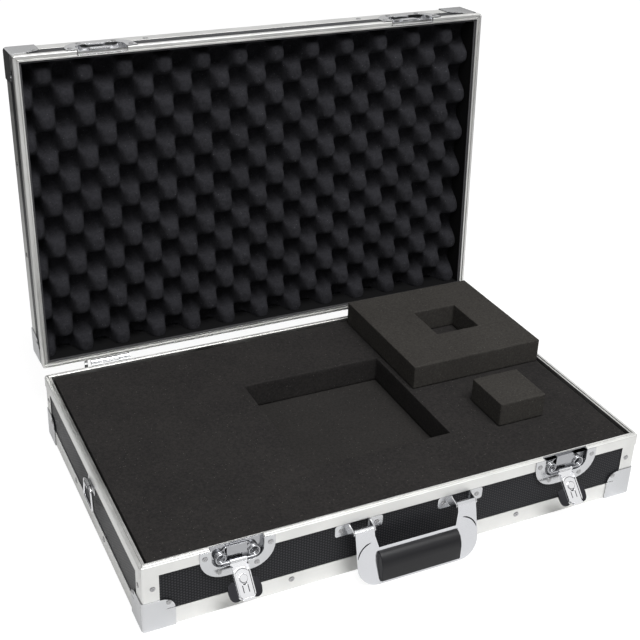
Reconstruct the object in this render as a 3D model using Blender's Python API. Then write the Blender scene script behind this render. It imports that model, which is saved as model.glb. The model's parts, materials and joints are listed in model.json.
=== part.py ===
"""Open flight case with pick foam: a shallow base tray on its underside and a hinged lid stopped open.

Sizes are in metres. X runs along the case, the front faces -Y, and Z = 0 is the underside of the
corner caps. Both trays are drawn open side up by the same functions. The lid is then turned over
onto the base and hung on the hinge axis, which opens it.
"""

import math

import bmesh
import bpy
from mathutils import Matrix, Vector

MM = 0.001
RIGHT_ANGLE = 90.0
HALF_TURN = 180.0
SMOOTH_DEG = 32.0

# Whole case
WIDTH = 600.0 * MM
DEPTH = 385.0 * MM
BASE_HEIGHT = 81.0 * MM
LID_HEIGHT = 49.0 * MM
PARTING_GAP = 0.3 * MM
LID_OPEN_DEG = 93.0
CORNER_RADIUS = 3.5 * MM
LEAST_RADIUS = 0.5 * MM
SEAT_GAP = 0.25 * MM

# Insets from the outermost face, from the outside in
SHEET = 0.8 * MM
ANGLE_OUT = SHEET + SEAT_GAP
ANGLE_IN = ANGLE_OUT + SHEET
PANEL_OUT = ANGLE_IN + SEAT_GAP
PANEL_SHEET = 4.0 * MM
PANEL_IN = PANEL_OUT + PANEL_SHEET
LIP_OUT = PANEL_IN + SEAT_GAP
LIP_IN = LIP_OUT + SHEET

# Closing profiles
RIM_LEG = 13.0 * MM
RIM_LIP = 9.0 * MM
RIM_WEB = 3.5 * MM
RIM_ROUND = 1.4 * MM
RIM_CHAMFER = 0.45 * MM
MITRE_SHIFT = 0.15 * MM
TONGUE_OUT = 3.7 * MM
TONGUE_IN = 5.1 * MM
TONGUE_TAPER = 0.25 * MM
TONGUE_TALL = 1.3 * MM
GROOVE_SLACK = 0.4 * MM

# Edge angles, corner posts and corner caps
ANGLE_LEG = 21.0 * MM
POST_LEG = 19.5 * MM
CAP_REACH = 35.5 * MM
CAP_SKIRT = 22.6 * MM
CAP_SLIT = 0.6 * MM
CAP_SLIT_START = 26.0 * MM
CAP_TALL = 36.0 * MM
CAP_TAB_REACH = 35.0 * MM
CAP_TAB_START = 20.0 * MM
TAB_STEPS = 6
CUT_OVER = 3.0 * MM

# Latch dishes and lid catches, measured down from the rim plane
LATCH_IN = 101.5 * MM
LATCH_SPAN = WIDTH - LATCH_IN - LATCH_IN
DISH_TOP = 0.4 * MM
PLATE_WIDE = 81.5 * MM
PLATE_TALL = 36.0 * MM
PLATE_RADIUS = 27.0 * MM
PLATE_LIFT = 0.25 * MM
CUP_WIDE = 56.4 * MM
CUP_FLOOR = 23.5 * MM
CUP_RADIUS = 12.0 * MM
CUP_BACK = 5.15 * MM
CUP_CLEAR = 0.3 * MM
LIP_LEDGE = 0.15 * MM
DISH_STEPS = 8

# Double spring whose middle is the pivot of the latch arm
WIRE = 1.5 * MM
WIRE_SIDES = 6
COIL_SPAN = 35.7 * MM
COIL_RADIUS = 5.5 * MM
COIL_TURNS = 2.5
COIL_PITCH = 2.0 * MM
COIL_POINTS = 9
PIVOT_DOWN = 19.7 * MM
PIVOT_IN = -0.9 * MM
TAIL_DOWN = 4.5 * MM
TAIL_BEND = 4.0 * MM
TAIL_END = 1.6 * MM
STRAP_HALF = 11.0 * MM
STRAP_DOWN = 2.0 * MM
STRAP_TALL = 12.0 * MM
STRAP_FRONT = 1.9 * MM
STRAP_SHEET = 1.0 * MM
KEEPER_HALF = 10.2 * MM
KEEPER_HIGH = 7.7 * MM
KEEPER_LOW = 16.7 * MM
KEEPER_FRONT = 1.4 * MM
KEEPER_SIDE = 1.2 * MM

# Latch arm in its own frame: S runs from the pivot to the tip, Y is negative on the outside
ARM_HANG_DEG = 45.0
SMALL_STEPS = 4
WING_STEPS = 6
ARM_HALF = 9.0 * MM
ARM_LENGTH = 38.5 * MM
KNUCKLE_RADIUS = 2.2 * MM
KNUCKLE_BORE = 1.05 * MM
KNUCKLE_STEPS = 12
ARM_WEB = 1.0 * MM
FLANGE_SHEET = 1.2 * MM
FLANGE_START = 3.5 * MM
FLANGE_RISE = 3.0 * MM
FLANGE_TOP = 1.9 * MM
ARM_CORNER = 2.0 * MM
POST_AT = 19.0 * MM
POST_RADIUS = 2.3 * MM
POST_HEAD_RADIUS = 4.6 * MM
POST_HEAD_LOW = 1.25 * MM
POST_HEAD_HIGH = 2.0 * MM
TURN_AT = 30.0 * MM
HUB_RADIUS = 4.5 * MM
HUB_SLACK = 0.3 * MM
HUB_FLANGE_RADIUS = 6.0 * MM
HUB_FLANGE_LOW = -0.95 * MM
HUB_FLANGE_HIGH = -0.35 * MM
CRANK_RADIUS = 1.3 * MM
CRANK_OFFSET = 2.0 * MM
CRANK_TOP = 0.35 * MM
WING_RADIUS = 18.0 * MM
WING_HALF_DEG = 17.0
WING_CORNER = 6.5 * MM
WING_WAIST = 6.2 * MM
WING_LOW = -4.3 * MM
WING_HIGH = -2.6 * MM
ROUND_STEPS = 16

# Hook plate that slides in the arm
HOOK_TRAVEL = 4.0 * MM
HOOK_HALF = 7.4 * MM
HOOK_START = 7.6 * MM
HOOK_CROWN = 9.4 * MM
HOOK_LOW = -0.05 * MM
HOOK_HIGH = 0.95 * MM
HOOK_END = 41.0 * MM
NOSE_HALF = 6.0 * MM
NOSE_START = 36.0 * MM
NOSE_SHEET = 1.2 * MM
NOSE_RISE = 4.5 * MM
NOSE_LIP = 0.7 * MM
NOSE_LIP_LONG = 2.7 * MM
GUIDE_SLACK = 0.35 * MM
CRANK_SLOT_HALF = 2.1 * MM
CRANK_SLOT_REACH = 3.7 * MM
CRANK_SLOT_TOP = 0.6 * MM

# Carrying handle in its own frame: T runs down from the pivot
HANDLE_HALF = 73.0 * MM
HANDLE_PIVOT_OUT = 9.5 * MM
HANDLE_DOWN = 20.0 * MM
HANDLE_PIVOT_UP = BASE_HEIGHT - HANDLE_DOWN
HANDLE_TABLE_GAP = 0.2 * MM
HANDLE_LONG = 63.2 * MM
HANDLE_LEG_TOP = 22.5 * MM
HANDLE_LEG_LOW = 26.3 * MM
HANDLE_BAR_TOP = 21.5 * MM
HANDLE_STRAIGHT = 7.0 * MM
HANDLE_RADIUS = 24.0 * MM
HANDLE_OUT = 3.2 * MM
HANDLE_SHEET = 1.6 * MM
HANDLE_BORE = 1.9 * MM
HANDLE_PIN = 1.5 * MM
CHEEK_HALF = 11.6 * MM
CHEEK_SHEET = 1.3 * MM
CHEEK_ROUND = 3.0 * MM
BRACKET_HALF = 28.0 * MM
BRACKET_DOWN = 14.0 * MM
BRACKET_TALL = 14.5 * MM
BRACKET_HIGH = BASE_HEIGHT - BRACKET_DOWN
BRACKET_LOW = BRACKET_HIGH - BRACKET_TALL
BRACKET_SPAN = 123.5 * MM
BRACKET_CORNER = 3.0 * MM
BRACKET_SHEET = 1.0 * MM
WINDOW_HALF = 10.2 * MM
WINDOW_SILL = 3.5 * MM
WINDOW_LOW = BRACKET_LOW + WINDOW_SILL
GRIP_HALF = 48.3 * MM
GRIP_TOP = 25.6 * MM
GRIP_LOW = 60.0 * MM
GRIP_BULGE = 8.4 * MM
GRIP_BACK = 2.2 * MM
GRIP_GAP = 0.3 * MM

# Hinges
HINGE_OUT = 4.3 * MM
HINGE_UP = 2.7 * MM
HINGE_IN = 85.2 * MM
HINGE_AT = WIDTH / 2 - HINGE_IN
HINGE_HALF = 24.8 * MM
HINGE_PIN = 1.6 * MM
HINGE_BORE = 1.9 * MM
HINGE_ROUND = 3.4 * MM
HINGE_LEAF = 1.2 * MM
HINGE_DROP = 28.0 * MM
HINGE_KNUCKLE_HALF = 10.0 * MM
HINGE_GAP = 0.3 * MM
LUG_START = 29.0 * MM
LUG_END = 33.0 * MM
LUG_BACK = 0.8 * MM
LUG_FRONT = 1.2 * MM
LUG_TOP = 4.0 * MM

# Strap rings
RING_SHARE = 0.46
RING_AT = RING_SHARE * DEPTH
RING_DOWN = 19.0 * MM
RING_UP = BASE_HEIGHT - RING_DOWN
RING_OUT = 3.3 * MM
RING_WIRE = 1.7 * MM
RING_HALF_TOP = 13.5 * MM
RING_HALF_LOW = 16.5 * MM
RING_DROP = 26.0 * MM
RING_BEND = 4.0 * MM
RING_SIDES = 8
LOOP_HALF = 6.0 * MM
LOOP_BORE = 2.05 * MM
LOOP_ROUND = 3.1 * MM
LOOP_PLATE_HALF = 13.0 * MM
LOOP_PLATE_TALL = 15.0 * MM
LOOP_PLATE_HIGH = BASE_HEIGHT - BRACKET_DOWN
LOOP_PLATE_LOW = LOOP_PLATE_HIGH - LOOP_PLATE_TALL

# Foam
PAD_INSET = 7.5 * MM
PICK_INSET = 10.2 * MM
FOAM_GAP = 0.3 * MM
PICK_DOWN = 2.0 * MM
PICK_TALL = 32.7 * MM
PICK_TOP = BASE_HEIGHT - PICK_DOWN
PICK_LOW = PICK_TOP - PICK_TALL
PAD_TOP = PICK_LOW - FOAM_GAP
FOAM_CORNER = 2.0 * MM
POCKET_SIZE = 181.5 * MM
POCKET_MIDDLE = (0.01625, 0.47078)
POCKET_LEFT = POCKET_MIDDLE[0] * WIDTH - POCKET_SIZE / 2
POCKET_FRONT = POCKET_MIDDLE[1] * DEPTH - POCKET_SIZE / 2
BLOCK_SIZE = 181.5 * MM
BLOCK_END_GAP = 11.6 * MM
BLOCK_BACK_GAP = 15.5 * MM
BLOCK_LEFT = WIDTH / 2 - BLOCK_END_GAP - BLOCK_SIZE
BLOCK_FRONT = DEPTH - BLOCK_BACK_GAP - BLOCK_SIZE
BLOCK_TALL = 31.0 * MM
HOLE_SIZE = 61.0 * MM
HOLE_IN = 68.0 * MM
HOLE_BACK = 62.0 * MM
HOLE_LEFT = BLOCK_LEFT + HOLE_IN
HOLE_FRONT = BLOCK_FRONT + HOLE_BACK
CUBE_SIZE = 62.0 * MM
CUBE_END_GAP = 78.5 * MM
CUBE_BLOCK_GAP = 47.5 * MM
CUBE_LEFT = WIDTH / 2 - CUBE_END_GAP - CUBE_SIZE
CUBE_FRONT = BLOCK_FRONT - CUBE_BLOCK_GAP - CUBE_SIZE
CUBE_TALL = 30.0 * MM
LINING_OUT = 7.4 * MM
LINING_IN = 9.6 * MM
LINING_LOW = 16.0 * MM
LINING_HIGH = 46.5 * MM
EGG_INSET = 10.1 * MM
EGG_PITCH_X = 47.4 * MM
EGG_PITCH_Y = 52.2 * MM
EGG_START_X = 15.0 * MM
EGG_START_Y = 13.0 * MM
EGG_MIDDLE = 24.5 * MM
EGG_SWING = 15.0 * MM
EGG_CELLS = 4
EGG_EDGE = 1.5 * MM

CORNERS = ((-1.0, -1.0), (1.0, -1.0), (1.0, 1.0), (-1.0, 1.0))
SIDES = ("front", "right", "back", "left")
LID_SIDES = ("back", "right", "front", "left")
CORNER_NAMES = ("front_left", "front_right", "back_right", "back_left")
LID_CORNER_NAMES = ("back_left", "back_right", "front_right", "front_left")
CLOSED_HEIGHT = BASE_HEIGHT + PARTING_GAP + LID_HEIGHT
HINGE_AXIS = (0.0, DEPTH + HINGE_OUT, BASE_HEIGHT + HINGE_UP)

ALUMINIUM = ((0.76, 0.76, 0.75, 1.0), 1.0, 0.32)
STEEL = ((0.72, 0.73, 0.74, 1.0), 1.0, 0.2)
DARK_STEEL = ((0.12, 0.12, 0.13, 1.0), 1.0, 0.25)
LAMINATE = ((0.02, 0.02, 0.022, 1.0), 0.0, 0.45)
MOULDED = ((0.03, 0.03, 0.032, 1.0), 0.0, 0.5)
PICK_FOAM = ((0.03, 0.029, 0.027, 1.0), 0.0, 0.95)
DARK_FOAM = ((0.018, 0.018, 0.019, 1.0), 0.0, 0.95)


def add_material(name, finish):
    """A plain material of this base colour, metallic share and roughness."""
    colour, metallic, roughness = finish
    material = bpy.data.materials.new(name)
    material.use_nodes = True
    shader = material.node_tree.nodes["Principled BSDF"]
    shader.inputs["Base Color"].default_value = colour
    shader.inputs["Metallic"].default_value = metallic
    shader.inputs["Roughness"].default_value = roughness
    return material


def add_solid(name, vertices, faces):
    """An object of these points and faces, with its faces turned outward."""
    mesh = bpy.data.meshes.new(name)
    mesh.from_pydata(vertices, [], faces)
    shape = bmesh.new()
    shape.from_mesh(mesh)
    bmesh.ops.recalc_face_normals(shape, faces=shape.faces)
    shape.to_mesh(mesh)
    shape.free()
    solid = bpy.data.objects.new(name, mesh)
    bpy.context.scene.collection.objects.link(solid)
    return solid


def along_x(u, v, w):
    """Place an outline of Y and Z, drawn out along X."""
    return (w, u, v)


def along_y(u, v, w):
    """Place an outline of X and Z, drawn out along Y."""
    return (u, w, v)


def along_z(u, v, w):
    """Place an outline of X and Y, drawn out along Z."""
    return (u, v, w)


def prism(name, outline, low, high, place):
    """A solid with this outline, drawn out between two levels."""
    count = len(outline)
    vertices = [place(u, v, low) for u, v in outline]
    vertices += [place(u, v, high) for u, v in outline]
    faces = [list(range(count)), list(range(count, count + count))]
    for index in range(count):
        after = (index + 1) % count
        faces.append([index, after, after + count, index + count])
    return add_solid(name, vertices, faces)


def box(name, low, high):
    """A box between two corners."""
    outline = [(low[0], low[1]), (high[0], low[1]), (high[0], high[1]), (low[0], high[1])]
    return prism(name, outline, low[2], high[2], along_z)


def arc(centre, radius, start, end, steps):
    """Points on an arc from one angle in degrees to another, both ends included."""
    points = []
    for step in range(steps + 1):
        angle = math.radians(start + (end - start) * step / steps)
        points.append((centre[0] + radius * math.cos(angle), centre[1] + radius * math.sin(angle)))
    return points


def circle(centre, radius, steps):
    """Points round a circle, which has a flat where each axis meets it."""
    half_step = HALF_TURN / steps
    return arc(centre, radius, half_step, half_step + HALF_TURN + HALF_TURN, steps)[:-1]


def rounded_box(low, high, radius, steps):
    """The outline of a rectangle with round corners."""
    points = []
    for corner, (side_u, side_v) in enumerate(CORNERS):
        centre_u = high[0] - radius if side_u > 0 else low[0] + radius
        centre_v = high[1] - radius if side_v > 0 else low[1] + radius
        start = RIGHT_ANGLE * (corner - 2)
        points += arc((centre_u, centre_v), radius, start, start + RIGHT_ANGLE, steps)
    return points


def combine(target, tool, operation):
    """Join a tool to the target or cut it away, and take the tool out of the scene."""
    modifier = target.modifiers.new(operation.lower(), "BOOLEAN")
    modifier.operation = operation
    modifier.solver = "EXACT"
    modifier.object = tool
    graph = bpy.context.evaluated_depsgraph_get()
    mesh = bpy.data.meshes.new_from_object(target.evaluated_get(graph))
    target.modifiers.clear()
    before = target.data
    target.data = mesh
    bpy.data.meshes.remove(before)
    bpy.data.objects.remove(tool)
    return target


def cut(target, tool):
    """Take the tool's volume out of the target."""
    return combine(target, tool, "DIFFERENCE")


def join(target, tool):
    """Add the tool's volume to the target."""
    return combine(target, tool, "UNION")


def move_points(solid, matrix):
    """Move the points of a solid, which leaves its object unturned."""
    solid.data.transform(matrix)
    return solid


def name_solid(solid, name, finish):
    """Give a solid its name and its material."""
    solid.name = name
    solid.data.name = name
    solid.data.shade_smooth()
    solid.data.set_sharp_from_angle(angle=math.radians(SMOOTH_DEG))
    solid.data.materials.clear()
    solid.data.materials.append(add_material(name, finish))
    return solid


def copy_solid(solid, matrix):
    """A moved copy of a solid."""
    other = bpy.data.objects.new(solid.name, solid.data.copy())
    bpy.context.scene.collection.objects.link(other)
    return move_points(other, matrix)


def tray_station(corner, turn, shift):
    """The place of an inset on a rounded corner of the case, at a share of the corner's turn."""
    side_x, side_y = CORNERS[corner]
    angle = math.radians(RIGHT_ANGLE * (corner - 2 + turn))

    def place(inset):
        radius = max(CORNER_RADIUS - inset, LEAST_RADIUS)
        reach = inset + radius
        x = side_x * (WIDTH / 2 - reach) + radius * math.cos(angle) + shift[0]
        y = DEPTH / 2 + side_y * (DEPTH / 2 - reach) + radius * math.sin(angle) + shift[1]
        return x, y

    return place


def corner_station(turn, reach):
    """The place of an inset on a piece that wraps one corner, whose outermost corner is at the origin."""
    angle = math.radians(HALF_TURN + RIGHT_ANGLE * turn)

    def place(inset):
        radius = max(CORNER_RADIUS - inset, LEAST_RADIUS)
        x = inset + radius + radius * math.cos(angle)
        y = inset + radius + radius * math.sin(angle)
        if reach and turn > 0:
            return reach, y
        if reach:
            return x, reach
        return x, y

    return place


def sweep(name, profile, stations, closed):
    """A profile of insets and levels, drawn past stations that place each inset."""
    width = len(profile)
    vertices = []
    for station in stations:
        for inset, level in profile:
            x, y = station(inset)
            vertices.append((x, y, level))
    faces = []
    rows = len(stations)
    for row in range(rows if closed else rows - 1):
        here = row * width
        there = (row + 1) % rows * width
        for index in range(width):
            after = (index + 1) % width
            faces.append([here + index, here + after, there + after, there + index])
    if not closed:
        faces.append(list(range(width)))
        faces.append(list(range((rows - 1) * width, rows * width)))
    return add_solid(name, vertices, faces)


def ring(name, profile):
    """A profile drawn all round the case."""
    turns = (0.0, 0.5, 1.0)
    stations = [tray_station(corner, turn, (0.0, 0.0)) for corner in range(4) for turn in turns]
    return sweep(name, profile, stations, True)


def band(out, inner, low, high):
    """A plain rectangular profile."""
    return [(out, low), (inner, low), (inner, high), (out, high)]


def slab(name, inset, low, high):
    """A plate that fills the case out to an inset, with the case's rounded corners."""
    turns = (0.0, 0.5, 1.0)
    outline = [tray_station(corner, turn, (0.0, 0.0))(inset) for corner in range(4) for turn in turns]
    return prism(name, outline, low, high, along_z)


def rim_profile(height, has_tongue):
    """The closing profile: a clamp over the panel's edge, with a tongue on it or a groove in it."""
    web = height - RIM_WEB
    outside = [(0.0, height - RIM_LEG), (0.0, height - RIM_ROUND), (RIM_CHAMFER, height - RIM_CHAMFER)]
    outside.append((RIM_ROUND, height))
    if has_tongue:
        top = height + TONGUE_TALL
        middle = [(TONGUE_OUT, height), (TONGUE_OUT + TONGUE_TAPER, top)]
        middle += [(TONGUE_IN - TONGUE_TAPER, top), (TONGUE_IN, height)]
    else:
        floor = height - TONGUE_TALL - GROOVE_SLACK
        middle = [(TONGUE_OUT - GROOVE_SLACK, height), (TONGUE_OUT - GROOVE_SLACK, floor)]
        middle += [(TONGUE_IN + GROOVE_SLACK, floor), (TONGUE_IN + GROOVE_SLACK, height)]
    inside = [(LIP_IN, height), (LIP_IN, height - RIM_LIP), (LIP_OUT, height - RIM_LIP)]
    inside += [(LIP_OUT, web), (ANGLE_IN, web), (ANGLE_IN, height - RIM_LEG)]
    return outside + middle + inside


def build_rim(height, side, has_tongue):
    """One side of the closing profile, mitred at both ends."""
    along = ((1.0, 0.0), (0.0, 1.0), (-1.0, 0.0), (0.0, -1.0))[side]
    start_shift = (along[0] * MITRE_SHIFT, along[1] * MITRE_SHIFT)
    end_shift = (-start_shift[0], -start_shift[1])
    corner = (side + 1) % 4
    stations = [tray_station(side, 0.5, start_shift), tray_station(side, 1.0, (0.0, 0.0))]
    stations += [tray_station(corner, 0.0, (0.0, 0.0)), tray_station(corner, 0.5, end_shift)]
    return sweep("rim", rim_profile(height, has_tongue), stations, False)


def build_edge_frame():
    """The angle that wraps the lower edge of the tray."""
    profile = [(ANGLE_OUT, ANGLE_OUT), (ANGLE_LEG, ANGLE_OUT), (ANGLE_LEG, ANGLE_IN)]
    profile += [(ANGLE_IN, ANGLE_IN), (ANGLE_IN, ANGLE_LEG), (ANGLE_OUT, ANGLE_LEG)]
    return ring("edge_frame", profile)


def corner_stations(reach):
    """Stations of a piece that wraps one corner and runs this far along both walls."""
    stations = [corner_station(0.0, reach)]
    stations += [corner_station(turn, 0.0) for turn in (0.0, 0.5, 1.0)]
    return stations + [corner_station(1.0, reach)]


def build_post(height):
    """The angle that wraps one upright edge, between the edge angle and the closing profile."""
    low = ANGLE_LEG + SEAT_GAP
    high = height - RIM_LEG - SEAT_GAP
    return sweep("post", band(ANGLE_OUT, ANGLE_IN, low, high), corner_stations(POST_LEG), False)


def cap_waste(flip):
    """What is cut from one wall of a corner cap: the slit, and the corner outside the round tab."""
    rise = CAP_TALL - CAP_SKIRT - CAP_SLIT
    outer = CAP_TAB_REACH - CAP_TAB_START
    beyond = CAP_REACH + CUT_OVER
    outline = [(CAP_SLIT_START, CAP_SKIRT), (beyond, CAP_SKIRT), (beyond, CAP_TALL + CUT_OVER)]
    outline.append((CAP_TAB_START, CAP_TALL + CUT_OVER))
    for u, v in arc((0.0, 0.0), 1.0, RIGHT_ANGLE, 0.0, TAB_STEPS):
        outline.append((CAP_TAB_START + outer * u, CAP_SKIRT + CAP_SLIT + rise * v))
    outline.append((CAP_SLIT_START, CAP_SKIRT + CAP_SLIT))
    return prism("waste", outline, -CUT_OVER, CUT_OVER, along_x if flip else along_y)


def build_cap():
    """The pressed cap over one lower corner: two walls with a round tab each, and a floor."""
    cap = sweep("cap", band(0.0, SHEET, 0.0, CAP_TALL), corner_stations(CAP_REACH), False)
    half = SHEET / 2
    outline = [(half, CAP_REACH), (half, CORNER_RADIUS), (CORNER_RADIUS, half), (CAP_REACH, half)]
    outline += arc((half, half), CAP_REACH - half, 0.0, RIGHT_ANGLE, TAB_STEPS)[1:-1]
    cap = join(cap, prism("floor", outline, 0.0, SHEET, along_z))
    cap = cut(cap, cap_waste(False))
    return cut(cap, cap_waste(True))


def cup_outline(height, grow, top):
    """The round-bottomed opening of a latch dish, grown all round."""
    half = CUP_WIDE / 2 + grow
    low = height - CUP_FLOOR - grow
    radius = CUP_RADIUS + grow
    outline = [(half, top), (-half, top)]
    outline += arc((radius - half, low + radius), radius, HALF_TURN, HALF_TURN + RIGHT_ANGLE, DISH_STEPS)
    outline += arc((half - radius, low + radius), radius, -RIGHT_ANGLE, 0.0, DISH_STEPS)
    return outline


def plate_outline(height, top, shrink):
    """The D-shaped plate round a latch dish, shrunk all round."""
    half = PLATE_WIDE / 2 - shrink
    radius = PLATE_RADIUS - shrink
    middle = height - PLATE_TALL + PLATE_RADIUS
    outline = [(half, top), (-half, top)]
    outline += arc((radius - half, middle), radius, HALF_TURN, HALF_TURN + RIGHT_ANGLE, DISH_STEPS)
    outline += arc((half - radius, middle), radius, -RIGHT_ANGLE, 0.0, DISH_STEPS)
    return outline


def build_dish(height):
    """A latch dish for the near wall: cup, plate and the step down to the panel."""
    top = height - DISH_TOP
    front = -PLATE_LIFT - SHEET
    outline = plate_outline(height, height + CUT_OVER, 0.0)
    dish = prism("dish", outline, front, -PLATE_LIFT, along_y)
    outline = plate_outline(height, top - CUP_CLEAR, SHEET / 4)
    step = prism("step", outline, -PLATE_LIFT - SHEET / 2, ANGLE_IN, along_y)
    reach = PLATE_WIDE / 2 + CUT_OVER
    leg = height - RIM_LEG - SEAT_GAP
    step = cut(step, box("leg", (-reach, -PLATE_LIFT - SHEET, leg), (reach, PANEL_IN, height)))
    step = cut(step, box("angle", (-reach, SHEET, -CUT_OVER), (reach, PANEL_IN, ANGLE_LEG + SEAT_GAP)))
    dish = join(dish, step)
    back = CUP_BACK + SHEET
    beyond = height + CUT_OVER + CUT_OVER
    dish = join(dish, prism("cup", cup_outline(height, SHEET, beyond), front + SHEET / 2, back, along_y))
    opening = cup_outline(height, 0.0, beyond + CUT_OVER)
    dish = cut(dish, prism("opening", opening, front - CUT_OVER, CUP_BACK, along_y))
    low = (-reach, front - CUT_OVER, top)
    return cut(dish, box("trim", low, (reach, back + CUT_OVER, beyond + CUT_OVER)))


def dish_clearance(height, deep):
    """The cut that lets a latch dish through the panel or the outer part of the closing profile."""
    outline = cup_outline(height, SHEET + CUP_CLEAR, height + CUT_OVER)
    return prism("clearance", outline, -CUT_OVER, deep, along_y)


def add_strap(dish, height):
    """Press a strap out of the dish's back, over the ends of the spring."""
    high = height - STRAP_DOWN
    low = high - STRAP_TALL
    back = STRAP_FRONT + STRAP_SHEET
    dish = join(dish, box("strap", (-STRAP_HALF, STRAP_FRONT, low), (STRAP_HALF, back, high)))
    deep = CUP_BACK + SHEET / 2
    near = STRAP_FRONT + STRAP_SHEET / 2
    inset = STRAP_SHEET / 4
    for start, end in ((low, low + STRAP_SHEET), (high - STRAP_SHEET, high)):
        rib_low = (inset - STRAP_HALF, near, start + (inset if start == low else 0.0))
        rib_high = (STRAP_HALF - inset, deep, end - (0.0 if start == low else inset))
        dish = join(dish, box("rib", rib_low, rib_high))
    return dish


def add_keeper(dish, height):
    """Press the keeper out of the catch's back, for the hook to hold on to."""
    high = height - KEEPER_HIGH
    low = height - KEEPER_LOW
    back = KEEPER_FRONT + STRAP_SHEET
    dish = join(dish, box("keeper", (-KEEPER_HALF, KEEPER_FRONT, low), (KEEPER_HALF, back, high)))
    deep = CUP_BACK + SHEET / 2
    near = KEEPER_FRONT + STRAP_SHEET / 2
    inset = STRAP_SHEET / 4
    for side in (-1.0, 1.0):
        edges = sorted((side * (KEEPER_HALF - KEEPER_SIDE), side * (KEEPER_HALF - inset)))
        dish = join(dish, box("rib", (edges[0], near, low + inset), (edges[1], deep, high - inset)))
    return dish


def tube(name, points, radius, sides, closed):
    """A round wire along a line of points, turned as little as possible from one point to the next."""
    path = [Vector(point) for point in points]
    count = len(path)
    directions = []
    for index in range(count):
        before = path[index - 1] if closed or index else path[index]
        after = path[(index + 1) % count] if closed or index < count - 1 else path[index]
        directions.append((after - before).normalized())
    across = directions[0].orthogonal().normalized()
    vertices = []
    for index, direction in enumerate(directions):
        if index:
            across = directions[index - 1].rotation_difference(direction) @ across
        across = (across - direction * across.dot(direction)).normalized()
        side = direction.cross(across)
        for step in range(sides):
            angle = math.radians((HALF_TURN + HALF_TURN) * step / sides)
            offset = across * (radius * math.cos(angle)) + side * (radius * math.sin(angle))
            vertices.append(tuple(path[index] + offset))
    faces = []
    twist = 0
    if closed:
        last = directions[-1].rotation_difference(directions[0]) @ across
        first = Vector(vertices[0]) - path[0]
        turned = math.atan2(last.cross(first).dot(directions[0]), last.dot(first))
        twist = round(turned / math.radians((HALF_TURN + HALF_TURN) / sides))
    for row in range(count if closed else count - 1):
        shift = twist if row == count - 1 else 0
        here = row * sides
        there = (row + 1) % count * sides
        for step in range(sides):
            one = (step - shift) % sides
            two = (step + 1 - shift) % sides
            faces.append([here + step, here + (step + 1) % sides, there + two, there + one])
    if not closed:
        faces.append(list(range(sides)))
        faces.append(list(range((count - 1) * sides, count * sides)))
    return add_solid(name, vertices, faces)


def spring_points(height):
    """The spring's centre line: tail under the strap, coil, pivot, coil, tail."""
    pivot = height - PIVOT_DOWN
    centre = pivot + COIL_RADIUS
    steps = round(COIL_TURNS * COIL_POINTS)
    half = []
    for step in range(steps + 1):
        turned = COIL_TURNS * step / steps
        angle = math.radians((HALF_TURN + HALF_TURN) * turned)
        x = COIL_SPAN / 2 + COIL_RADIUS * math.sin(angle)
        half.append((x, PIVOT_IN + COIL_PITCH * turned, centre - COIL_RADIUS * math.cos(angle)))
    deep = PIVOT_IN + COIL_PITCH * COIL_TURNS
    top = centre + COIL_RADIUS
    tail = height - TAIL_DOWN
    half.append((COIL_SPAN / 2 - TAIL_BEND / 4, deep, top))
    half.append((COIL_SPAN / 2 - TAIL_BEND, deep, (top + tail + tail) / 3))
    half.append((COIL_SPAN / 2 - TAIL_BEND - TAIL_BEND / 2, deep, tail))
    half.append((TAIL_END, deep, tail))
    other = [(-x, y, z) for x, y, z in reversed(half)]
    return other + half


def report_spring_gap(points):
    """Print the least gap between the spring and itself, measured on its centre line."""
    line = [Vector(point) for point in points]
    apart = COIL_POINTS // 2
    least = min(
        (first - second).length
        for index, first in enumerate(line)
        for second in line[index + apart :]
    )
    print("least spring gap mm", round((least - WIRE) / MM, 2))


def build_arm():
    """The swing arm: a channel with a rolled knuckle and the guide post of the hook."""
    out = -KNUCKLE_RADIUS
    web = out + ARM_WEB
    side_at = ARM_HALF - ARM_CORNER
    end_at = ARM_LENGTH - ARM_CORNER
    corners = [(-ARM_HALF, 0.0), (ARM_HALF, 0.0)]
    corners += arc((side_at, end_at), ARM_CORNER, 0.0, RIGHT_ANGLE, SMALL_STEPS)
    corners += arc((-side_at, end_at), ARM_CORNER, RIGHT_ANGLE, HALF_TURN, SMALL_STEPS)
    arm = prism("arm", corners, out, web, along_y)
    for side in (-1.0, 1.0):
        edges = sorted((side * (ARM_HALF - FLANGE_SHEET), side * (ARM_HALF - SHEET / 8)))
        outline = [(out + ARM_WEB / 4, FLANGE_START), (FLANGE_TOP, FLANGE_START + FLANGE_RISE)]
        end = ARM_LENGTH - ARM_CORNER
        outline += [(FLANGE_TOP, end - FLANGE_RISE), (FLANGE_TOP / 2, end), (out + ARM_WEB / 4, end)]
        arm = join(arm, prism("flange", outline, edges[0], edges[1], along_x))
    knuckle = circle((0.0, 0.0), KNUCKLE_RADIUS, KNUCKLE_STEPS)
    inset = SHEET / 8
    arm = join(arm, prism("knuckle", knuckle, inset - ARM_HALF, ARM_HALF - inset, along_x))
    post = circle((0.0, POST_AT), POST_RADIUS, ROUND_STEPS)
    arm = join(arm, prism("post", post, web - ARM_WEB / 2, POST_HEAD_LOW + SHEET / 4, along_y))
    head = circle((0.0, POST_AT), POST_HEAD_RADIUS, ROUND_STEPS)
    arm = join(arm, prism("head", head, POST_HEAD_LOW, POST_HEAD_HIGH, along_y))
    bore = circle((0.0, 0.0), KNUCKLE_BORE, KNUCKLE_STEPS)
    arm = cut(arm, prism("bore", bore, -ARM_HALF - CUT_OVER, ARM_HALF + CUT_OVER, along_x))
    hub = circle((0.0, TURN_AT), HUB_RADIUS + HUB_SLACK, ROUND_STEPS)
    return cut(arm, prism("hub", hub, out - CUT_OVER, 0.0, along_y))


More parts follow.
